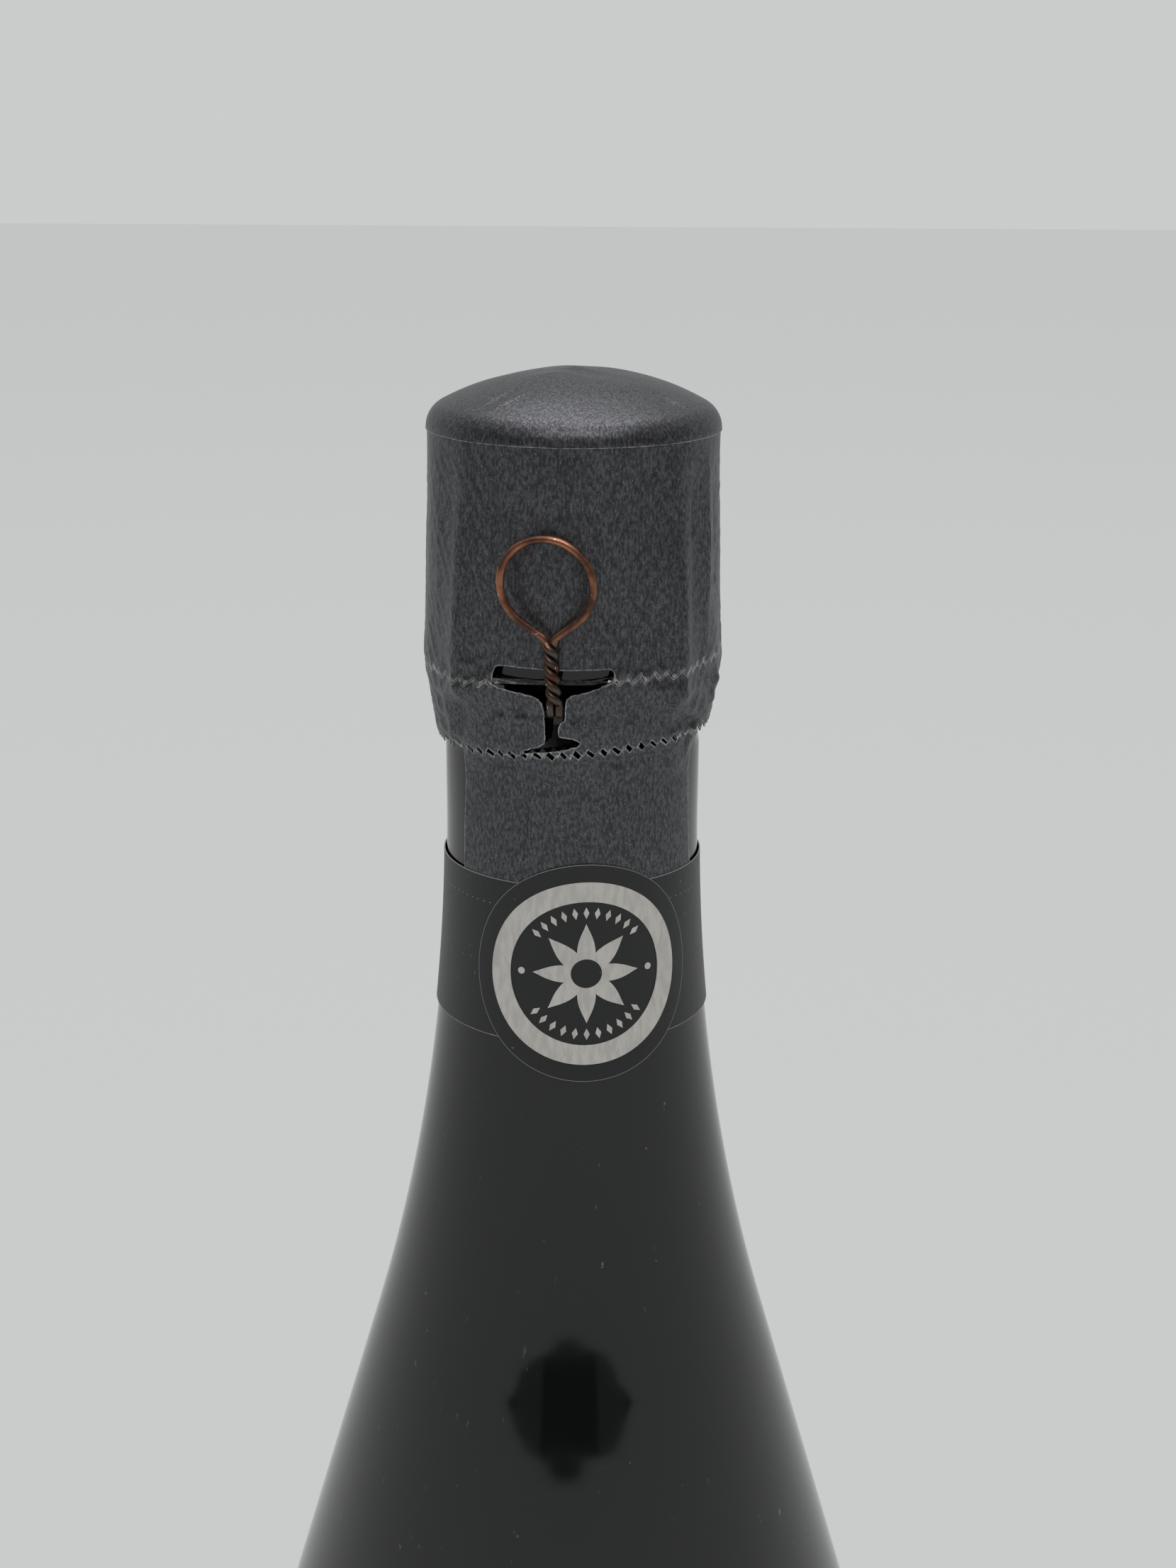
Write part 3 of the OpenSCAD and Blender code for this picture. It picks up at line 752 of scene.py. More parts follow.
@dataclass(frozen=True)
class CapFinish:
    """Lacquered tinplate with a satin sheen."""

    tone: Colour = (0.52, 0.52, 0.54)

    def material(self) -> bpy.types.Material:
        """Makes the material."""
        made, r = new_recipe("cap_steel")
        scuffs = r.noise(500.0, 3.0, (1.0, 1.0, 0.3))
        r.surface({
            "Base Color": r.blend(scuffs.over(0.4, 0.75), self.tone, tuple(c * 0.8 for c in self.tone)),
            "Metallic": 0.9,
            "Roughness": 0.26 + scuffs * 0.14,
            "Normal": r.relief(scuffs, 0.00001)})
        return made


def finish_piece(piece: bpy.types.Object, materials: Sequence[bpy.types.Material], body: Body,
                 nodes: Sequence[str] = ()) -> None:
    """Gives a piece its materials, its body and the nodes that it stands for, and logs it.

    Args:
        piece: The piece.
        materials: Its materials, in the order of its material numbers.
        body: The body that it rides on.
        nodes: The frame's nodes that it replaces.
    """
    piece.data.materials.clear()
    for material in materials:
        piece.data.materials.append(material)
    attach(piece, body.value)
    if nodes:
        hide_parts(*nodes)
    log.info("%s: %d faces, rides on %s", piece.name, len(piece.data.polygons), body.value)


# The bottle and what is in it


@dataclass
class Glass:
    """The glass bottle, a turned shell with its ring, bore and punt."""

    height: float = 300.0
    body_r: float = 44.5
    neck_r: float = 15.6
    wall: float = 4.0
    neck_z: float = 265.0
    flank_r: float = 250.0
    slope: float = 16.2
    shoulder_r: float = 60.0
    heel_r: float = 8.0
    foot_w: float = 3.5
    punt_h: float = 38.0
    base_t: float = 5.0
    punt_power: float = 1.8
    bore_r: float = 8.75
    bore_depth: float = 26.0
    bore_edge: float = 0.6
    lip_r: float = 14.3
    lip_h: float = 5.5
    lip_round: float = 1.2
    groove_r: float = 13.2
    ring_r: float = 16.9
    ring_top: float = 290.5
    ring_side: float = 284.6
    ring_round: float = 0.8
    throat_top: float = 281.8
    throat_r: float = 14.3
    throat_flare: float = 8.0

    def radius(self, z: Array) -> Array:
        """Outer radius of the neck, and of the hollow flank that it runs into: a circle of flank_r about its side."""
        drop = np.clip(self.neck_z - z, 0, None)
        return self.neck_r + self.flank_r - np.sqrt(self.flank_r ** 2 - drop ** 2)

    def punt(self, r: Array, low: float, outer: float) -> Array:
        """Height of the punt: it falls from punt_h at the axis with a power of the radius."""
        return low + self.punt_h * (1 - (r / outer) ** self.punt_power)

    def outline(self) -> Array:
        """The outline of the glass, out from the foot, up the outside, down the bore and inside, and back under.

        Returns:
            Points (radius, z) of a closed loop, from the axis inside to the axis below.
        """
        foot_r = self.body_r - self.heel_r
        punt_r = foot_r - self.foot_w
        a = math.radians(self.slope)
        flank_low = self.neck_z - self.flank_r * math.sin(a)
        flank_low_r = self.neck_r + self.flank_r * (1 - math.cos(a))
        shoulder_top_r = self.body_r - self.shoulder_r * (1 - math.cos(a))
        shoulder_top = flank_low - (shoulder_top_r - flank_low_r) / math.tan(a)
        body_top = shoulder_top - self.shoulder_r * math.sin(a)
        hub = self.neck_r + self.flank_r
        throat_low = self.throat_top - self.throat_flare
        bevel = self.ring_side - self.throat_top
        lip_low = self.height - self.lip_h
        under_r = np.linspace(0, punt_r, 36)
        floor_r = np.linspace(foot_r, 0, 36)
        outside = np.vstack((
            np.column_stack((under_r, self.punt(under_r, 0.0, punt_r))),
            arc(foot_r, self.heel_r, self.heel_r, -90, 0, 14),
            arc(self.body_r - self.shoulder_r, body_top, self.shoulder_r, 0, self.slope, 14),
            arc(hub, self.neck_z, self.flank_r, 180 + self.slope, 180, 40),
            [(self.neck_r, throat_low), (self.throat_r, self.throat_top - bevel), (self.throat_r, self.throat_top),
             (self.ring_r, self.ring_side)],
            arc(self.ring_r - self.ring_round, self.ring_top - self.ring_round, self.ring_round, 0, 90, 6),
            [(self.groove_r, self.ring_top), (self.groove_r, lip_low - (self.lip_r - self.groove_r)),
             (self.lip_r, lip_low)],
            arc(self.lip_r - self.lip_round, self.height - self.lip_round, self.lip_round, 0, 90, 6)))
        within = np.vstack((
            [(self.bore_r + self.bore_edge, self.height), (self.bore_r, self.height - self.bore_edge),
             (self.bore_r, self.height - self.bore_depth)],
            arc(hub, self.neck_z, self.flank_r + self.wall, 180, 180 + self.slope, 40),
            arc(self.body_r - self.shoulder_r, body_top, self.shoulder_r - self.wall, self.slope, 0, 14),
            arc(foot_r, self.base_t + self.heel_r - self.wall, self.heel_r - self.wall, 0, -90, 8)[:-1],
            np.column_stack((floor_r, self.punt(floor_r, self.base_t, foot_r)))))
        return np.vstack((outside, within))

    def build(self) -> None:
        """Makes the bottle's glass."""
        piece = turned("glass_shell", self.outline(), False, 224)
        finish_piece(piece, [GlassFinish().material()], Body.BOTTLE, ["glass_bottle"])


@dataclass
class Cork:
    """The stopper: a pressed body with its mushroom head, and two natural discs at the wine."""

    mouth_z: float = 300.0
    depth: float = 24.0
    radius: float = 8.7
    head_r: float = 15.0
    head_round: float = 3.0
    head_edge_r: float = 1.9
    head_rise: float = 5.95
    rim_z: float = 312.0
    disc_t: float = 6.0
    chamfer: float = 0.6
    glue: float = 0.03

    def build(self) -> None:
        """Makes the cork's three pieces."""
        low = self.mouth_z - self.depth
        body_low = low + 2 * self.disc_t
        head = np.vstack((
            [(0, body_low), (self.radius, body_low), (self.radius, self.mouth_z)],
            arc(self.head_r - self.head_round, self.mouth_z + self.head_round, self.head_round, -90, 0, 10),
            dome_line(self.head_r, self.head_rise, self.head_edge_r, self.rim_z)))
        pressed = CorkFinish("pressed_cork", (0.62, 0.45, 0.27), (0.42, 0.27, 0.14), 620.0, 0.66).material()
        whole = CorkFinish("natural_cork", (0.66, 0.49, 0.31), (0.50, 0.34, 0.19), 300.0, 0.62).material()
        finish_piece(turned("cork_stopper", head, False, 128), [pressed], Body.CORK, ["cork_body"])
        for name, z, bevel in (("lower", low, self.chamfer), ("upper", low + self.disc_t, 0.05)):
            top = z + self.disc_t - self.glue
            disc = np.array([(0, z), (self.radius - bevel, z), (self.radius, z + bevel), (self.radius, top), (0, top)])
            finish_piece(turned(f"natural_disc_{name}", disc, False, 128), [whole], Body.CORK,
                         [f"cork_disc_{name}"])


def dome_line(r: float, h: float, edge: float, z: float, steps: int = 20) -> Array:
    """A dome's outline with a rounded edge: an arc of radius edge, then one wide arc, meeting at a common slope.

    Args:
        r: Radius of the dome at its foot.
        h: Its height.
        edge: Radius of its rounded edge.
        z: Height of its foot.
        steps: Chords of the wide arc.

    Returns:
        Points (radius, z) from the foot to the top.
    """
    wide = ((r - edge) ** 2 + h ** 2 - edge ** 2) / (2 * (h - edge))
    meet = math.degrees(math.acos((wide - h) / (wide - edge)))
    top = arc(0, z + h - wide, wide, 90 - meet, 90, steps)[1:]
    return np.vstack((arc(r - edge, z, edge, 0, 90 - meet, 12), top))


# The wire cage


@dataclass
class Cage:
    """Metal cap, wire frame, belt wire and pull loop."""

    wire_r: float = 0.465
    gap: float = 0.05
    rim_z: float = 312.0
    cap_r: float = 15.6
    cap_t: float = 0.3
    cap_lip: float = 1.4
    cap_edge_r: float = 2.2
    cap_rise: float = 6.55
    leg_bend: float = 1.3
    leg_turns: float = 4.25
    turn: float = -2.0
    ring_r: float = 16.9
    ring_top: float = 290.5
    ring_side: float = 284.6
    ring_bevel: float = 2.8
    belt_z: float = 280.9
    belt_r: float = 16.1
    belt_bend: float = 0.7
    eyelet_r: float = 1.04
    loop_turn: float = -6.5
    loop_lean: float = 3.5
    loop_r: float = 5.3
    loop_splay: float = 54.0
    splay_bend: float = 0.9
    twist_turns: float = 2.5
    twist_low: float = 282.5
    twist_h: float = 7.5
    twist_low_r: float = 18.35
    twist_out_r: float = 19.105
    twist_out_z: float = 286.4
    fold_z: float = 281.2
    fold_bend: float = 1.0
    fold_lead: float = 0.3

    def __post_init__(self) -> None:
        """Works out the lengths that the pieces share."""
        self.pair_r = self.wire_r + self.gap / 2
        self.pair_out = self.pair_r + self.wire_r
        self.top_r = self.cap_r + self.gap + self.wire_r
        self.top_z = self.rim_z - self.cap_lip + self.cap_t + self.gap + self.wire_r
        self.leg_top = self.top_z - self.leg_bend
        self.leg_out_r = self.ring_r + self.gap + self.pair_out
        self.leg_end = self.belt_z + self.eyelet_r + self.gap
        self.twist_top = self.twist_low + self.twist_h

    @staticmethod
    def turned_by(points: Array, degrees: float) -> Array:
        """Points turned about the axis."""
        a = math.radians(degrees)
        turn = np.array([(math.cos(a), -math.sin(a), 0), (math.sin(a), math.cos(a), 0), (0, 0, 1)])
        return points @ turn.T

    def strand(self, side: float) -> Array:
        """One wire of a leg: a helix of radius pair_r about a line that passes over the ring and in under it.

        Args:
            side: The helix's angle at the top, in degrees.

        Returns:
            Its points from the top down.
        """
        z = np.linspace(self.leg_top, self.leg_end, round(self.leg_turns * 14) + 1)
        line = [(self.leg_end, self.belt_r + self.pair_out / 3),
                (self.ring_side - self.ring_bevel / 2, self.leg_out_r - self.pair_r / 2),
                (self.ring_side - self.gap, self.leg_out_r), (self.ring_top, self.leg_out_r), (self.leg_top, self.top_r)]
        phase = np.radians(side + 360 * self.leg_turns * (self.leg_top - z) / (self.leg_top - self.leg_end))
        out = np.interp(z, *np.array(line).T)
        return np.column_stack((self.pair_r * np.cos(phase), -out - self.pair_r * np.sin(phase), z))

    def leg(self) -> Array:
        """The wire of one leg: a bend out of the top wire, down one strand, round the eyelet and up the other."""
        a = np.radians(np.linspace(90, 0, 7))
        away = -np.arcsin((self.pair_r + self.leg_bend * (1 - np.cos(a))) / self.top_r)
        down = on_axis(np.full(7, self.top_r), away, self.top_z - self.leg_bend * (1 - np.sin(a)))
        e = np.radians(np.linspace(130, 410, 18))
        eyelet = np.column_stack((0 * e, -self.belt_r - self.eyelet_r * np.cos(e), self.belt_z + self.eyelet_r * np.sin(e)))
        up = down[::-1] * (-1, 1, 1)
        return np.vstack((down[:-1], self.strand(180), eyelet, self.strand(0)[::-1], up[1:]))

    def frame_path(self) -> Array:
        """The whole wire of the frame: quarters of the top wire with a leg between each two."""
        room = math.degrees(math.asin((self.pair_r + self.leg_bend) / self.top_r))
        first = self.turn - 135
        parts = []
        for k in range(4):
            start = first + 90 * k - (44.5 if k == 0 else 90 - room - 4)
            quarter = np.radians(np.linspace(start, first + 90 * k - room - 4, 14))
            parts += [on_axis(np.full(14, self.top_r), quarter, np.full(14, self.top_z)),
                      self.turned_by(self.leg(), first + 90 * k)]
        last = np.radians(np.linspace(first + 270 + room + 4, first + 314.5, 8))
        return np.vstack((*parts, on_axis(np.full(8, self.top_r), last, np.full(8, self.top_z))))

    def belt_path(self) -> Array:
        """The belt under the ring, whose two ends turn out side by side and up to the fold."""
        a = np.radians(np.linspace(90, 0, 7))
        rise = np.column_stack((
            np.full(7, self.pair_r), -(self.twist_low_r - self.fold_bend * (1 - np.sin(a))),
            self.fold_z + self.fold_bend * (1 - np.cos(a))))
        b = a[::-1]
        out = np.column_stack((
            self.pair_r + self.belt_bend * (1 - np.cos(b)), -(self.belt_r + self.belt_bend * (1 - np.sin(b))),
            np.linspace(self.fold_z, self.belt_z, 7)))
        end = np.vstack(([(self.pair_r, -self.twist_low_r, self.twist_low)], rise, out))
        gap = math.asin((self.pair_r + self.belt_bend) / self.belt_r)
        ring = on_axis(np.full(95, self.belt_r), np.linspace(gap, 2 * np.pi - gap, 97)[1:-1], np.full(95, self.belt_z))
        return self.turned_by(np.vstack((end, ring, end[::-1] * (-1, 1, 1))), self.loop_turn)

    def loop_path(self) -> Array:
        """The pull loop: up one strand of the twist, round a ring that comes to a point, and down the other strand."""
        start = self.twist_low + self.fold_lead
        i = np.linspace(0, 1, round(self.twist_turns * 16) + 1)
        z = start + (self.twist_top - start) * i
        out = np.interp(z, (start, self.twist_out_z), (self.twist_low_r, self.twist_out_r))
        strands = []
        for side in (180, 0):
            phase = np.radians(side - 360 * self.twist_turns * i)
            strands.append(np.column_stack((self.pair_r * np.cos(phase), -out + self.pair_r * np.sin(phase), z)))
        splay = math.radians(self.loop_splay)
        a = np.linspace(0, splay, 7)[1:]
        bend = np.column_stack((self.pair_r + self.splay_bend * (1 - np.cos(a)), self.twist_top + self.splay_bend * np.sin(a)))
        run = (self.loop_r * math.cos(splay) - bend[-1, 0]) / math.sin(splay)
        centre = bend[-1, 1] + run * math.cos(splay) + self.loop_r * math.sin(splay)
        half = np.vstack((bend, arc(0, centre, self.loop_r, -self.loop_splay, 90, 30)))
        round_it = np.vstack((half, half[-2::-1] * (-1, 1)))
        ring = np.column_stack((round_it[:, 0], np.full(len(round_it), -self.twist_out_r), round_it[:, 1]))
        foot = np.array([(self.pair_r, -self.twist_low_r, self.twist_low + self.gap)])
        path = np.vstack((foot * (-1, 1, 1), strands[0], ring, strands[1][::-1], foot))
        path[:, 0] -= (path[:, 2] - self.twist_low) * math.tan(math.radians(self.loop_lean))
        return self.turned_by(path, self.loop_turn)

    def cap_outline(self) -> Array:
        """The pressed cap: a dome, a straight wall, and a lip turned out under the top wire."""
        low = self.rim_z - self.cap_lip
        outer = dome_line(self.cap_r, self.cap_rise, self.cap_edge_r, self.rim_z)
        inner = dome_line(self.cap_r - self.cap_t, self.cap_rise - self.cap_t, self.cap_edge_r - self.cap_t, self.rim_z)
        lip = np.array([(self.cap_r - self.cap_t, low), (self.top_r, low), (self.top_r, low + self.cap_t),
                        (self.cap_r, low + self.cap_t)])
        return np.vstack((inner[::-1], lip, outer))

    def build(self) -> None:
        """Makes the cap and the three wires."""
        wire = WireFinish().material()
        cap = turned("pressed_cap", self.cap_outline(), False, 128)
        finish_piece(cap, [CapFinish().material()], Body.CAGE, ["metal_cap"])
        finish_piece(tube("frame_wire", self.frame_path(), self.wire_r, 12), [wire], Body.CAGE, ["wire_frame"])
        finish_piece(tube("belt", self.belt_path(), self.wire_r, 12), [wire], Body.CAGE, ["belt_wire"])
        finish_piece(tube("pull_loop", self.loop_path(), self.wire_r, 18), [wire], Body.LOOP, ["wire_loop"])


# The foil


@dataclass(frozen=True)
class Dent:
    """A soft swelling or hollow in the foil: a bell over the distances across and along it."""

    azimuth: float
    z: float
    across: float
    along: float
    height: float
    lean: float = 0.0

    def field(self, azimuth: Array, z: Array, unroll: float) -> Array:
        """Its height at each point: height times exp(-(u / across)^2 - (v / along)^2), with u and v leaned."""
        u = (np.remainder(azimuth - math.radians(self.azimuth) + np.pi, 2 * np.pi) - np.pi) * unroll
        v = z - self.z
        c, s = math.cos(math.radians(self.lean)), math.sin(math.radians(self.lean))
        return self.height * np.exp(-((c * u + s * v) / self.across) ** 2 - ((c * v - s * u) / self.along) ** 2)


@dataclass(frozen=True)
class Crease:
    """A sharp fold that runs up the foil: it is steep on its left and dies out slowly to its right."""

    azimuth: float
    low: float
    high: float
    height: float
    left: float
    right: float
    lean: float = 0.0

    def field(self, azimuth: Array, z: Array, unroll: float) -> Array:
        """Its height at each point: two exponentials that meet on the fold, faded in and out along it."""
        line = math.radians(self.azimuth) + self.lean * (z - (self.low + self.high) / 2) / unroll
        u = (np.remainder(azimuth - line + np.pi, 2 * np.pi) - np.pi) * unroll
        fade = (self.high - self.low) * 0.3
        along = smooth(self.low, self.low + fade, z) * (1 - smooth(self.high - fade, self.high, z))
        return self.height * along * np.where(u < 0, np.exp(u / self.left), np.exp(-u / self.right))


@dataclass
class Capsule:
    """The foil over cork, cage and neck: hood, tear band and two tongues, with their perforations and cut-out."""

    glass: Glass
    cage: Cage
    foil_t: float = 0.15
    unroll: float = 18.0
    rim_z: float = 312.0
    dome_h: float = 6.85
    dome_edge_r: float = 3.3
    rim_r: float = 17.4
    upper_z: float = 284.85
    lower_z: float = 276.15
    upper_tilt: float = 0.85
    lower_tilt: float = 1.15
    tick_pitch: float = 1.68
    tick_h: float = 1.15
    tick_w: float = 0.55
    slit: float = 0.05
    tongue_end: float = 241.5
    ridge_w: float = 2.3
    profile: tuple[tuple[float, float], ...] = (
        (271.4, 15.78), (272.2, 15.84), (273.7, 16.12), (275.5, 16.62), (277.4, 17.0), (279.5, 17.3), (281.0, 17.5),
        (283.0, 17.92), (284.8, 18.08), (288.0, 17.96), (292.0, 17.85), (298.0, 17.74), (304.5, 17.52),
        (309.0, 17.45), (312.0, 17.4))
    ridge_rise: tuple[tuple[float, float], ...] = (
        (277.5, 0.0), (280.2, 0.15), (282.4, 1.12), (285.0, 1.14), (290.5, 1.22), (302.0, 0.62), (310.1, 0.15),
        (312.0, 0.0))
    slot: tuple[tuple[float, float], ...] = (
        (-29.8, 286.35), (-28.6, 286.62), (-24.0, 286.66), (-8.0, 286.58), (8.0, 286.6), (13.0, 286.62), (14.7, 286.45),
        (15.4, 286.0), (14.9, 285.45), (12.6, 284.9), (9.4, 284.4), (4.0, 283.95), (-0.6, 283.6), (-2.2, 283.2),
        (-2.7, 282.5), (-2.9, 281.4), (-3.1, 280.5), (-4.6, 280.2), (-5.4, 279.7), (-5.6, 278.8), (-5.2, 278.45),
        (-2.0, 278.25), (1.6, 277.95), (3.0, 277.65), (1.8, 277.25), (-2.5, 276.85), (-8.0, 276.55), (-14.0, 276.3),
        (-20.6, 276.0), (-20.9, 276.25), (-17.5, 276.6), (-13.5, 277.05), (-11.0, 277.5), (-10.5, 278.4),
        (-10.7, 280.0), (-10.9, 281.6), (-11.6, 282.6), (-13.9, 283.25), (-19.0, 283.6), (-25.0, 283.85),
        (-29.2, 284.15), (-30.7, 284.7), (-30.9, 285.5))

    def tilt(self, azimuth: Array, z: Array) -> Array:
        """How far the foil has slipped up: a sine round it, more at the lower perforation, none at the rim."""
        low = smooth(self.tongue_end, self.lower_z, z) * (1 - smooth(self.lower_z, self.upper_z, z))
        up = smooth(self.lower_z, self.upper_z, z) * (1 - smooth(self.upper_z, self.rim_z - 6, z))
        return np.sin(azimuth) * (self.lower_tilt * low + self.upper_tilt * up)

    def marks(self) -> list[Dent | Crease]:
        """The folds and dents of this capsule, placed by azimuth and height."""
        return [
            Crease(50.5, 286.5, 311.0, -0.42, 0.25, 2.2, 0.03), Crease(62.5, 287.0, 311.5, 0.36, 1.6, 0.5, 0.02),
            Crease(70.0, 290.0, 310.0, -0.22, 0.4, 1.3), Crease(-52.0, 288.0, 309.0, -0.13, 0.9, 1.7, -0.04),
            Crease(-63.0, 287.0, 306.0, 0.12, 0.6, 2.0), Crease(84.0, 285.5, 312.5, -0.35, 0.12, 1.2),
            Crease(97.0, 286.0, 311.0, 0.25, 0.8, 0.8), Crease(-100.0, 286.0, 309.0, -0.22, 0.5, 1.5, 0.03),
            Crease(118.0, 288.0, 309.0, -0.2, 0.7, 1.4), Crease(149.0, 286.0, 308.0, -0.24, 0.3, 1.9, 0.03),
            Crease(-151.0, 287.0, 310.0, 0.18, 0.7, 0.7), Crease(-124.0, 287.0, 307.0, -0.2, 0.5, 1.4, -0.03),
            Crease(176.0, 288.0, 311.0, -0.12, 0.8, 1.6),
            Dent(-21.0, 301.0, 1.7, 6.5, -0.10), Dent(8.0, 301.5, 2.3, 6.0, -0.09), Dent(21.0, 300.0, 1.4, 7.0, -0.12),
            Dent(33.0, 296.0, 2.0, 8.0, 0.12), Dent(-2.0, 296.0, 1.4, 8.0, 0.05), Dent(-36.0, 299.0, 1.8, 7.0, 0.07),
            Dent(-42.0, 283.2, 2.6, 1.3, 0.42, 15.0), Dent(-49.5, 279.8, 0.9, 2.2, -0.5, -18.0),
            Dent(-57.0, 281.0, 2.0, 2.2, 0.3), Dent(-35.0, 280.3, 2.6, 1.1, -0.22, 30.0),
            Dent(36.0, 283.6, 3.2, 0.9, 0.28, -12.0), Dent(47.0, 281.4, 2.2, 1.0, 0.38, -24.0),
            Dent(52.0, 278.6, 2.6, 0.8, -0.5, -10.0), Dent(44.0, 277.7, 1.5, 0.5, 0.34, 8.0),
            Dent(24.0, 280.0, 3.0, 1.8, 0.14), Dent(64.0, 283.3, 1.6, 1.6, -0.4, 20.0),
            Dent(74.0, 281.5, 1.2, 2.2, 0.5, -20.0), Dent(60.0, 276.8, 1.6, 0.9, 0.3),
            Dent(-28.0, 274.5, 3.4, 0.75, -0.3, 4.0), Dent(-44.0, 274.0, 2.2, 1.1, -0.16, -8.0),
            Dent(22.0, 275.1, 4.4, 0.7, -0.32, 3.0), Dent(38.0, 274.9, 2.6, 0.9, -0.22, -12.0),
            Dent(-3.0, 274.6, 3.8, 0.9, 0.16), Dent(50.0, 273.3, 1.4, 1.4, 0.2)]

    def radius(self, azimuth: Array, z: Array) -> Array:
        """Outer radius of the foil: its profile, a ridge over each leg, soft waves, crumples low down, and its marks.

        Args:
            azimuth: Azimuths in radians.
            z: Heights in millimetres.

        Returns:
            The radius at each.
        """
        base = np.where(z > self.profile[0][0], smooth_line(z, self.profile), self.glass.radius(z) + 0.18)
        step = np.radians(self.cage.turn + 45)
        from_leg = (np.remainder(azimuth - step + np.pi / 4, np.pi / 2) - np.pi / 4) * self.unroll
        ridge = smooth_line(z, self.ridge_rise) * np.exp(-np.abs(from_leg / self.ridge_w) ** 1.6)
        free = smooth(271.0, 276.0, z) * (1 - smooth(308.5, 311.6, z))
        flutes = waves(azimuth, z * 0, 11, (5, 15), (0.0, 0.0)) * 0.055 + waves(azimuth, z, 12, (9, 22), (0.02, 0.16)) * 0.035
        low = free * (1 - smooth(283.0, 291.0, z))
        crumple = 0.10 - 0.13 * np.abs(waves(azimuth, z, 13, (9, 26), (0.3, 1.3), 18))
        fine = waves(azimuth, z, 14, (30, 80), (0.8, 3.2), 22) * 0.018
        marks = sum(mark.field(azimuth, z, self.unroll) for mark in self.marks())
        neck = smooth(270.5, 273.0, z)
        return base + ridge + free * (flutes + fine) + low * crumple + marks * neck

    def ticks(self, z: float, start: float, end: float, slant: float, opening: float) -> Array:
        """The torn line of a row of slits: a slanted slit, then a bridge to the next one, and so on.

        Args:
            z: Height of the row.
            start, end: Its azimuths in degrees.
            slant: 1 for slits that lean to the left, -1 to the right.
            opening: How far this side of the slit stands off.

        Returns:
            Points (s, z) from start to end.
        """
        first, last = math.radians(start) * self.unroll, math.radians(end) * self.unroll
        count = max(round((last - first) / self.tick_pitch), 1)
        s = first + (np.arange(count) + 0.5) * (last - first) / count
        rng = np.random.default_rng(round(abs(z * 10)) + count)
        jitter = rng.uniform(-0.12, 0.12, (count, 2))
        half = self.tick_h / 2 * rng.uniform(0.75, 1.1, count)
        left = np.column_stack((s - self.tick_w / 2 + jitter[:, 0], z + slant * half + opening))
        right = np.column_stack((s + self.tick_w / 2 + jitter[:, 0], z - slant * half + opening))
        middle = (left + right) / 2 + np.column_stack((jitter[:, 1] * 0.5, np.full(count, opening * 1.5)))
        row = np.stack((left, middle, right), axis=1).reshape(-1, 2)
        return np.vstack(([(first, z)], row, [(last, z)]))

    def slot_outline(self) -> Array:
        """The cut-out in the sheet's plane, with small jags along its lower edges."""
        az, z = np.array(self.slot).T
        closed = np.column_stack((np.radians(az) * self.unroll, z))
        fine = []
        rng = np.random.default_rng(5)
        for p, q in zip(closed, np.roll(closed, -1, 0)):
            n = max(int(np.hypot(*(q - p)) / 0.28), 1)
            t = np.linspace(0, 1, n, endpoint=False)[:, None]
            part = p + (q - p) * t
            rough = 0.035 if p[1] < 285.2 else 0.006
            part[1:] += rng.normal(0, rough, (n - 1, 2))
            fine.append(part)
        line = np.vstack(fine)
        shift = self.tilt(line[:, 0] / self.unroll, line[:, 1])
        return line - np.column_stack((0 * shift, shift))

    def skirt(self) -> None:
        """Makes the hood's skirt, from the rim down to the upper perforation."""
        side = math.pi * self.unroll
        low = self.ticks(self.upper_z, -180, 180, 1, self.slit)
        top = self.rim_z + 0.0
        steps = np.linspace(side, -side, 360)
        border = np.vstack((low, np.column_stack((steps, np.full(360, top)))))
        slot = self.slot_outline()
        upper = slot[slot[:, 1] > self.upper_z - 2.2]
        border, bright = self.cut_bay(border, upper, True)
        sheet = Sheet("hood_foil_skirt", border, self.radius, self.foil_t, [], [low, bright], 0.3, self.unroll, self.tilt)
        self.dress(sheet.build(), Body.HOOD, ["hood_skirt"])

    def cut_bay(self, border: Array, slot: Array, upper: bool) -> tuple[Array, Array]:
        """Leads a border's perforation line round the cut-out, which opens through it.

        Args:
            border: The closed border, whose perforation row comes first.
            slot: The cut-out's corners.
            upper: Whether the sheet lies above the row.

        Returns:
            The new border, and the part of it that is the cut-out's edge.
        """
        row_z = self.upper_z
        west, east = slot[:, 0].min(), slot[:, 0].max()
        keep_side = slot[:, 1] > row_z if upper else slot[:, 1] < row_z
        start = int(np.argmin(slot[:, 0]))
        walk = np.roll(slot, -start, 0)
        side = np.roll(keep_side, -start)
        edge = walk[side]
        if not upper:
            edge = edge[::-1]
        edge = edge[np.argmin(edge[:, 0]):] if edge[0, 0] > edge[-1, 0] else edge
        count = int(np.argmax(np.diff(border[:, 0]) < 0))
        row, rest = border[:count + 1], border[count + 1:]
        left, right = row[row[:, 0] < west - 0.05], row[row[:, 0] > east + 0.05]
        edge = np.vstack(([(west - 0.02, row_z)], edge, [(east + 0.02, row_z)]))
        return np.vstack((left, edge, right, rest)), edge

    def dress(self, piece: bpy.types.Object, body: Body, nodes: Sequence[str] = ()) -> None:
        """Gives a foil piece its two finishes."""
        finish_piece(piece, [self.foil, self.bare], body, nodes)

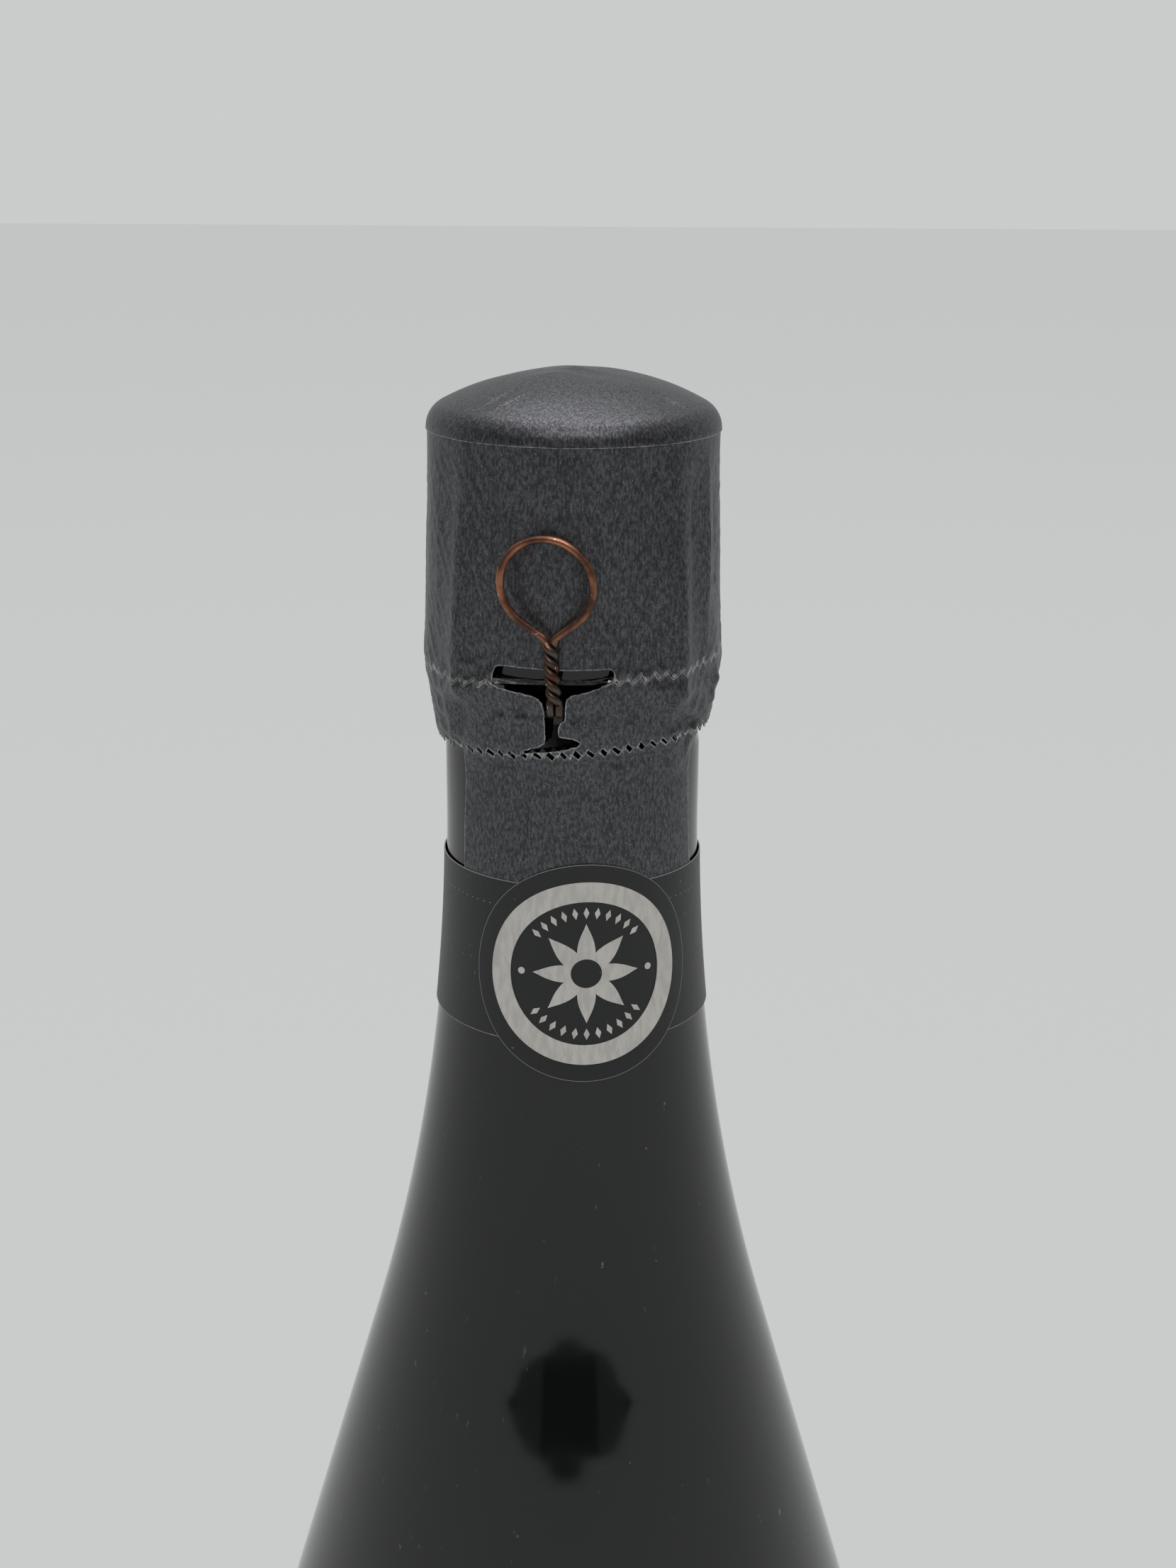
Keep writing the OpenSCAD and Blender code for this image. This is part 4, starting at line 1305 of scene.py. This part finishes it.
    def band(self) -> None:
        """Makes the tear band between the two perforations."""
        low = self.ticks(self.lower_z, -180, 180, -1, self.slit)
        top = self.ticks(self.upper_z, -180, 180, 1, -self.slit)
        slot = self.slot_outline()
        lower = slot[slot[:, 1] <= self.upper_z - 0.0]
        west, east = slot[:, 0].min(), slot[:, 0].max()
        start = int(np.argmin(np.abs(slot[:, 0] - east) + np.abs(slot[:, 1] - self.upper_z)))
        walk = np.roll(slot, -start, 0)
        edge = walk[walk[:, 1] < self.upper_z]
        edge = edge if edge[0, 0] > edge[-1, 0] else edge[::-1]
        tops = top[::-1]
        right, left = tops[tops[:, 0] > east + 0.05], tops[tops[:, 0] < west - 0.05]
        foot_low = edge[:, 1].min()
        edge = edge[edge[:, 1] > self.lower_z + 0.12]
        del foot_low, lower
        bay = np.vstack(([(east + 0.02, self.upper_z)], edge, [(west - 0.02, self.upper_z)]))
        border = np.vstack((low, right, bay, left))
        sheet = Sheet("tear_band_foil", border, self.radius, self.foil_t, [], [low, top, bay], 0.27, self.unroll, self.tilt)
        self.dress(sheet.build(), Body.BOTTLE, ["tear_band"])

    def tongue(self, name: str, west: tuple[float, float], east: tuple[float, float], nodes: Sequence[str]) -> None:
        """Makes a tongue of foil that hangs from the lower perforation and lies on the neck.

        Args:
            name: The piece's name.
            west: Azimuths of its left side at the top and at its end, in degrees.
            east: The same for its right side.
            nodes: The nodes that it replaces.
        """
        top = self.ticks(self.lower_z, west[0], east[0], -1, -self.slit)[::-1]
        z = np.linspace(self.lower_z, self.tongue_end, 90)[1:]
        t = (self.lower_z - z) / (self.lower_z - self.tongue_end)
        rng = np.random.default_rng(len(name))
        sides = []
        for top_az, end_az in (west, east):
            s = np.radians(top_az + (end_az - top_az) * t) * self.unroll
            s += 0.10 * np.sin(z * 0.55 + top_az) + rng.normal(0, 0.02, len(z))
            sides.append(np.column_stack((s, z)))
        border = np.vstack((top, sides[0], sides[1][::-1]))
        sheet = Sheet(name, border, self.radius, self.foil_t, [], [top, sides[0], sides[1]], 0.33, self.unroll, self.tilt)
        self.dress(sheet.build(), Body.BOTTLE, nodes)

    def dome(self) -> None:
        """Makes the round disc on top: a dome with a rounded edge, a faint point, wide waves and a few dents.

        Its height is the dome's outline at a radius, plus bells and waves that fade out towards the edge.
        """
        outer_r = self.rim_r + self.foil_t
        line = dome_line(outer_r, self.dome_h, self.dome_edge_r, self.rim_z, 60)
        way = np.concatenate(([0], np.cumsum(np.hypot(*np.diff(line, axis=0).T))))
        t = np.linspace(0, way[-1], 110)
        r, z = np.interp(t, way, line[:, 0]), np.interp(t, way, line[:, 1])
        a = np.arange(256) * 2 * np.pi / 256
        az, rr = np.meshgrid(a, r)
        zz = np.repeat(z[:, None], 256, 1)
        x, y = rr * np.sin(az), -rr * np.cos(az)
        calm = smooth(17.5, 13.0, rr) if False else 1 - smooth(12.5, 17.0, rr)
        dents = ((-8.6, -9.6, 2.4, 0.9, -0.22, 28.0), (-7.4, -10.6, 1.8, 0.6, 0.16, 28.0), (10.8, -8.2, 2.2, 1.1, -0.24, -30.0),
                 (12.0, -7.0, 1.6, 0.7, 0.12, -30.0), (2.2, -3.2, 3.4, 1.7, -0.18, -12.0), (-3.0, -3.6, 3.0, 1.4, 0.12, 10.0),
                 (5.5, 1.5, 4.2, 2.4, -0.16, 20.0), (-6.0, 2.0, 4.4, 2.2, -0.14, -30.0), (0.3, -0.4, 1.3, 1.0, 0.24, 0.0),
                 (-2.0, 8.0, 4.0, 2.0, -0.15, 10.0), (8.5, 8.0, 2.2, 1.3, -0.2, 45.0), (-10.5, 6.5, 2.0, 1.2, -0.18, -50.0))
        for dx, dy, wide, deep, up, lean in dents:
            c, s = math.cos(math.radians(lean)), math.sin(math.radians(lean))
            u, v = x - dx, y - dy
            zz = zz + up * calm ** 0.3 * np.exp(-((c * u + s * v) / wide) ** 2 - ((c * v - s * u) / deep) ** 2)
        swell = np.cos(3 * az + 0.6) * 0.05 + np.cos(5 * az + 2.0) * 0.04 + np.cos(2 * az + 1.1) * 0.06
        zz = zz + swell * smooth(1.0, 6.0, rr) * calm
        rim = np.column_stack((np.full(3, 1.0), (0.0, -0.06, -0.12)))
        lip_r = outer_r + 0.02 * np.cos(9 * a) + 0.015 * np.cos(17 * a + 1)
        rows = [on_axis(lip_r * k, a, np.full(256, self.rim_z + dz)) for k, dz in rim[::-1]]
        top = np.stack((x, y, zz), axis=-1)
        outer = np.vstack((np.stack(rows[:2]), top))
        inner_pull = 1 - self.foil_t / outer_r
        inner = top[::-1] * (inner_pull, inner_pull, 1) - (0, 0, self.foil_t)
        inner[-20:, :, 2] = np.maximum(inner[-20:, :, 2], self.rim_z - 0.12)
        points = np.vstack((outer, inner))
        piece = mesh_object("hood_foil_dome", points.reshape(-1, 3), grid_faces(len(points), 256, True, True), 40.0)
        edge = piece.data.attributes.new("cut_edge", "FLOAT", "POINT")
        co = np.empty(len(piece.data.vertices) * 3, np.float32)
        piece.data.vertices.foreach_get("co", co)
        over = co.reshape(-1, 3)[:, 2] / MM - self.rim_z
        edge.data.foreach_set("value", np.clip(1 - (over + 0.12) / 0.3, 0, 1).astype(np.float32))
        self.dress(piece, Body.HOOD, ["hood_disc"])

    def build(self) -> None:
        """Makes every piece of foil."""
        self.foil = FoilFinish().material()
        self.bare = EdgeFinish("foil_cut_edge", (0.55, 0.55, 0.54), 0.6).material()
        self.dome()
        self.skirt()
        self.band()
        self.tongue("foil_tongue_fore", (-53.5, -59.0), (60.5, 70.0), ["foil_tongue_front"])
        self.tongue("foil_tongue_aft", (127.0, 125.0), (241.0, 243.0), ["foil_tongue_back"])


# Paper on the neck and the body


@dataclass
class Collar:
    """The paper collar, with its medallion, the stamped silver and a plain ornament."""

    glass: Glass
    paper_t: float = 0.12
    silver_t: float = 0.08
    lift: float = 0.33
    top_z: float = 259.7
    low_z: float = 239.9
    unroll: float = 15.9
    medal_turn: float = 6.1
    medal_z: float = 248.9
    medal_d: float = 27.1
    medal_lift: float = 0.48
    silver_d: float = 22.8
    silver_in_d: float = 17.9
    silver_lift: float = 0.59
    rosette_d: float = 12.4
    rosette_waist: float = 0.45
    hub_d: float = 3.6
    rays: int = 8

    def neck(self, lift: float) -> Form:
        """The neck's surface with a layer of some height on it."""
        return lambda azimuth, z: self.glass.radius(z) + lift + 0.0 * azimuth

    def strip(self) -> None:
        """Makes the collar, which goes round from one side of the medallion's middle to the other."""
        start, end = math.radians(self.medal_turn + 6) * self.unroll, math.radians(self.medal_turn + 354) * self.unroll
        s = np.linspace(start, end, 160)
        round_end = 4.0
        dip = 3.2 * (1 - smooth(0, round_end, np.minimum(s - start, 1e9)) * smooth(0, round_end, end - s))
        top = np.column_stack((s, self.top_z - dip))[::-1]
        low = np.column_stack((s, np.full(160, self.low_z)))
        border = np.vstack((low, top))
        sheet = Sheet("collar_strip", border, self.neck(self.lift), self.paper_t, [], [low, top], 0.5, self.unroll)
        finish_piece(sheet.build(), [self.paper, self.cut], Body.BOTTLE, ["collar_band"])

    def laid(self, name: str, s: Array, z: Array, faces: Array, lift: float, thickness: float) -> bpy.types.Object:
        """Lays a flat shape on the neck in front: its x becomes arc length about the medallion's middle.

        Args:
            name: The piece's name.
            s, z: Its points about the medallion's middle, in millimetres.
            faces: Its faces.
            lift: Height of its underside over the glass.
            thickness: Its thickness.

        Returns:
            The piece, with its wall.
        """
        height = self.medal_z + z
        r = self.glass.radius(height) + lift + thickness
        azimuth = math.radians(self.medal_turn) + s / self.unroll
        piece = mesh_object(name, on_axis(r, azimuth, height), faces, close=False)
        near = piece.data.attributes.new("cut_edge", "FLOAT", "POINT")
        reach = np.hypot(s, z)
        near.data.foreach_set("value", np.clip(1 - (reach.max() - reach) / 0.4, 0, 1).astype(np.float32))
        Sheet(name, np.zeros((1, 2)), self.neck(0), thickness).thicken(piece)
        return piece

    def polar(self, inner: Array | float, outer: Array | float, rings: int, around: int) -> tuple[Array, Array, Array]:
        """A flat ring between two radii that may change with the angle: each spoke is divided evenly.

        Args:
            inner, outer: The radii, as numbers or one for each spoke.
            rings: Points along a spoke.
            around: Number of spokes.

        Returns:
            The points' s and z, and the faces.
        """
        a = np.arange(around) * 2 * np.pi / around
        t = np.linspace(0, 1, rings)[:, None]
        r = inner * (1 - t) + outer * t + 0 * a
        return (r * np.cos(a)).ravel(), (r * np.sin(a)).ravel(), grid_faces(rings, around, False, True)

    def medal(self) -> None:
        """Makes the black disc, the silver ring, the rosette and the two arcs of lozenges between them."""
        disc = self.laid("medallion_disc", *self.polar(0.0, self.medal_d / 2, 40, 160), self.medal_lift - self.paper_t,
                         self.paper_t)
        finish_piece(disc, [self.paper, self.cut], Body.BOTTLE, ["medallion"])
        ring = self.laid("silver_hoop", *self.polar(self.silver_in_d / 2, self.silver_d / 2, 9, 160),
                         self.silver_lift - self.silver_t, self.silver_t)
        finish_piece(ring, [self.silver, self.silver], Body.BOTTLE, ["silver_ring"])
        a = np.arange(self.rays * 16) * 2 * np.pi / (self.rays * 16)
        wave = np.abs(np.remainder(a * self.rays / (2 * np.pi) + 0.5, 1) - 0.5) * 2
        star = self.rosette_d / 2 * (1 - (1 - self.rosette_waist) * wave ** 0.8)
        rosette = self.laid("silver_star", *self.polar(self.hub_d / 2, star, 7, len(a)), self.silver_lift - self.silver_t,
                            self.silver_t)
        finish_piece(rosette, [self.silver, self.silver], Body.BOTTLE, ["silver_rosette"])
        self.lozenges()

    def lozenges(self) -> None:
        """Makes two arcs of small silver lozenges and a dot at each side: each is a ring of corners about its middle."""
        radius = (self.silver_in_d + self.rosette_d) / 4
        spots = np.radians(np.concatenate((np.linspace(40, 140, 11), np.linspace(220, 320, 11), (0.0, 180.0))))
        corner = np.arange(12) * np.pi / 6
        lozenge = 1 / (np.abs(np.cos(corner)) / 0.34 + np.abs(np.sin(corner)) / 0.72)
        size = np.where(np.arange(len(spots))[:, None] < 22, lozenge[None], 0.42)
        across = radius + size * np.sin(corner)
        along = size * np.cos(corner)
        s = across * np.cos(spots[:, None]) - along * np.sin(spots[:, None])
        z = across * np.sin(spots[:, None]) + along * np.cos(spots[:, None])
        middle = radius * np.column_stack((np.cos(spots), np.sin(spots)))
        s, z = np.hstack((s, middle[:, :1])), np.hstack((z, middle[:, 1:]))
        first = 13 * np.arange(len(spots))[:, None]
        k = np.arange(12)
        faces = np.stack((first + k, first + (k + 1) % 12, first + 12 + 0 * k), axis=-1).reshape(-1, 3)
        piece = self.laid("silver_lozenges", s.ravel(), z.ravel(), faces, self.silver_lift - self.silver_t, self.silver_t)
        finish_piece(piece, [self.silver, self.silver], Body.BOTTLE)

    def build(self) -> None:
        """Makes the collar and the medallion."""
        self.paper = PaperFinish().material()
        self.cut = EdgeFinish("paper_cut_edge", (0.6, 0.6, 0.58), 0.0, 0.8).material()
        self.silver = SilverFinish().material()
        self.strip()
        self.medal()


@dataclass
class Labels:
    """The two plain labels on the body, each with a thin silver frame line."""

    glass: Glass
    paper_t: float = 0.12
    gap: float = 0.03
    low_z: float = 30.0
    front: tuple[float, float] = (96.0, 82.0)
    back: tuple[float, float] = (62.0, 66.0)
    corner: float = 3.0
    inset: float = 3.5
    line_w: float = 0.5
    line_t: float = 0.02

    @staticmethod
    def rounded(width: float, height: float, corner: float, middle: tuple[float, float]) -> Array:
        """Corners of a rectangle with rounded corners, about its middle."""
        w, h = width / 2 - corner, height / 2 - corner
        turns = [arc(x * w, z * h, corner, a, a + 90, 8) for x, z, a in ((1, 1, 0), (-1, 1, 90), (-1, -1, 180), (1, -1, 270))]
        return np.vstack(turns) + middle

    def label(self, name: str, size: tuple[float, float], turn: float, node: str) -> None:
        """Makes one label and its frame line.

        Args:
            name: The start of the pieces' names.
            size: The label's width and height.
            turn: Azimuth of its middle, in degrees.
            node: The node that it replaces.
        """
        r = self.glass.body_r
        centre = (math.radians(turn) * r, self.low_z + size[1] / 2)
        border = self.rounded(size[0], size[1], self.corner, centre)
        outer = r + self.gap + self.paper_t
        sheet = Sheet(f"{name}_paper", border, lambda a, z: outer + 0 * a, self.paper_t, [], [], 1.6, r)
        finish_piece(sheet.build(), [self.paper, self.cut], Body.BOTTLE, [node])
        frames = [self.rounded(size[0] - 2 * d, size[1] - 2 * d, max(self.corner - d * 0.5, 0.6), centre)
                  for d in (self.inset, self.inset + self.line_w)]
        above = outer + self.line_t
        line = Sheet(f"{name}_frame_line", frames[0], lambda a, z: above + 0 * a, self.line_t, [frames[1]], [], 0.8, r)
        finish_piece(line.build(), [self.silver, self.silver], Body.BOTTLE)

    def build(self) -> None:
        """Makes both labels."""
        self.paper = PaperFinish("label_paper", (0.012, 0.012, 0.013), (0.3, 0.3, 0.3), 0.48).material()
        self.cut = EdgeFinish("label_cut_edge", (0.5, 0.5, 0.48), 0.0, 0.8).material()
        self.silver = SilverFinish().material()
        self.label("front_label", self.front, 0.0, "front_label")
        self.label("rear_label", self.back, 180.0, "back_label")


# Camera, floor and light


@dataclass
class Studio:
    """A pale floor and surroundings, soft lamps, and the camera of the photograph."""

    camera_at: tuple[float, float, float] = (0.0, -0.2696, 0.350)
    pitch: float = 17.0
    focal_px: float = 3200.0
    long_side_px: float = 2212.0
    axis_px: float = -23.0
    roll: float = 0.36
    sensor: float = 36.0
    pale: Colour = (0.592, 0.605, 0.598)

    def camera(self) -> None:
        """Sets the camera: it looks along +Y, pitched down, then rolled about its own line and turned about Z."""
        data = bpy.data.cameras.new("camera")
        data.sensor_width = self.sensor
        data.lens = self.sensor * self.focal_px / self.long_side_px
        data.clip_start, data.clip_end = 0.01, 50.0
        p, roll, yaw = math.radians(self.pitch), math.radians(self.roll), math.atan(self.axis_px / self.focal_px)
        right, up = Vector((1, 0, 0)), Vector((0, math.sin(p), math.cos(p)))
        ahead = Vector((0, math.cos(p), -math.sin(p)))
        x = right * math.cos(roll) + up * math.sin(roll)
        y = up * math.cos(roll) - right * math.sin(roll)
        turn = Matrix.Rotation(yaw, 3, "Z")
        axes = Matrix((turn @ x, turn @ y, turn @ -ahead)).transposed()
        camera = bpy.data.objects.new("camera", data)
        camera.matrix_world = Matrix.Translation(self.camera_at) @ axes.to_4x4()
        bpy.context.scene.collection.objects.link(camera)
        bpy.context.scene.camera = camera

    def world(self) -> None:
        """Sets the surroundings: pale to the camera, and to gloss a pale room that is dark behind the camera."""
        world = bpy.data.worlds.new("room")
        bpy.context.scene.world = world
        world.use_nodes = True
        r = Recipe(world.node_tree)
        split = r.node("ShaderNodeSeparateXYZ", inputs={0: r.node("ShaderNodeTexCoord").outputs["Generated"]})
        x, y, z = (Num(r.tree, o) for o in split.outputs)
        side = x._math("ABSOLUTE", x)
        azimuth = side._math("ARCTAN2", side, 0 - y) * (180 / math.pi)
        windows = azimuth.over(13.0, 17.0) * (1 - azimuth.over(27.0, 33.0)) * 0.16
        back = azimuth.over(55.0, 125.0)
        sky = z.over(0.15, 0.8)
        gloss = (0.05 + back * 0.75 + windows).most(sky * 0.55)
        path = r.node("ShaderNodeLightPath")
        seen = Num(r.tree, path.outputs["Is Camera Ray"])
        shine = Num(r.tree, path.outputs["Is Glossy Ray"]).most(Num(r.tree, path.outputs["Is Transmission Ray"]))
        strength = seen + (1 - seen) * (shine * gloss + (1 - shine) * 0.75)
        glow = r.node("ShaderNodeBackground", inputs={"Color": self.pale, "Strength": strength})
        r.node("ShaderNodeOutputWorld", inputs={"Surface": glow.outputs[0]})

    def floor(self) -> None:
        """Makes the floor: to the camera and in gloss mostly a plain pale colour, so that only a soft shadow shows."""
        s = 6000.0
        points = np.array([(-s, -s, 0.0), (s, -s, 0.0), (s, s, 0.0), (-s, s, 0.0)])
        floor = mesh_object("floor", points, np.array([(0, 1, 2, 3)]), close=False)
        material, r = new_recipe("floor")
        path = r.node("ShaderNodeLightPath")
        seen = Num(r.tree, path.outputs["Is Camera Ray"])
        for ray in ("Is Glossy Ray", "Is Transmission Ray"):
            seen = seen.most(Num(r.tree, path.outputs[ray]))
        plain = r.node("ShaderNodeEmission", inputs={"Color": self.pale})
        lit = r.node("ShaderNodeBsdfDiffuse", inputs={"Color": self.pale})
        both = r.node("ShaderNodeMixShader", inputs={0: seen * 0.85, 1: lit.outputs[0], 2: plain.outputs[0]})
        r.node("ShaderNodeOutputMaterial", inputs={"Surface": both.outputs[0]})
        floor.data.materials.append(material)

    def lamp(self, name: str, place: Colour, aim: Colour, size: tuple[float, float], watts: float) -> None:
        """Adds a soft rectangular lamp.

        Args:
            name: Its name.
            place, aim: Where it hangs and the point that it faces, in metres.
            size: Its width and height.
            watts: Its power.
        """
        data = bpy.data.lights.new(name, "AREA")
        data.shape = "RECTANGLE"
        data.size, data.size_y = size
        data.energy = watts
        lamp = bpy.data.objects.new(name, data)
        lamp.location = place
        lamp.rotation_euler = (Vector(aim) - Vector(place)).to_track_quat("-Z", "Y").to_euler()
        lamp.visible_camera = False
        bpy.context.scene.collection.objects.link(lamp)

    def build(self) -> None:
        """Makes the camera, the surroundings and the lamps."""
        self.camera()
        self.world()
        self.floor()
        self.lamp("ceiling", (0.0, 0.2, 2.2), (0, 0, 0.2), (2.0, 2.0), 26.0)
        self.lamp("front_high", (0.1, -1.15, 1.55), (0, 0, 0.3), (1.3, 0.35), 7.0)
        scene = bpy.context.scene
        scene.view_settings.view_transform = "Standard"


def main() -> None:
    """Builds the studio and every piece of the bottle."""
    logging.basicConfig(level=logging.INFO, format="%(message)s")
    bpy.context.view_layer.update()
    Studio().build()
    glass, cage = Glass(), Cage()
    glass.build()
    Cork().build()
    cage.build()
    Capsule(glass, cage).build()
    Collar(glass).build()
    Labels(glass).build()


if __name__ == "__main__":
    main()
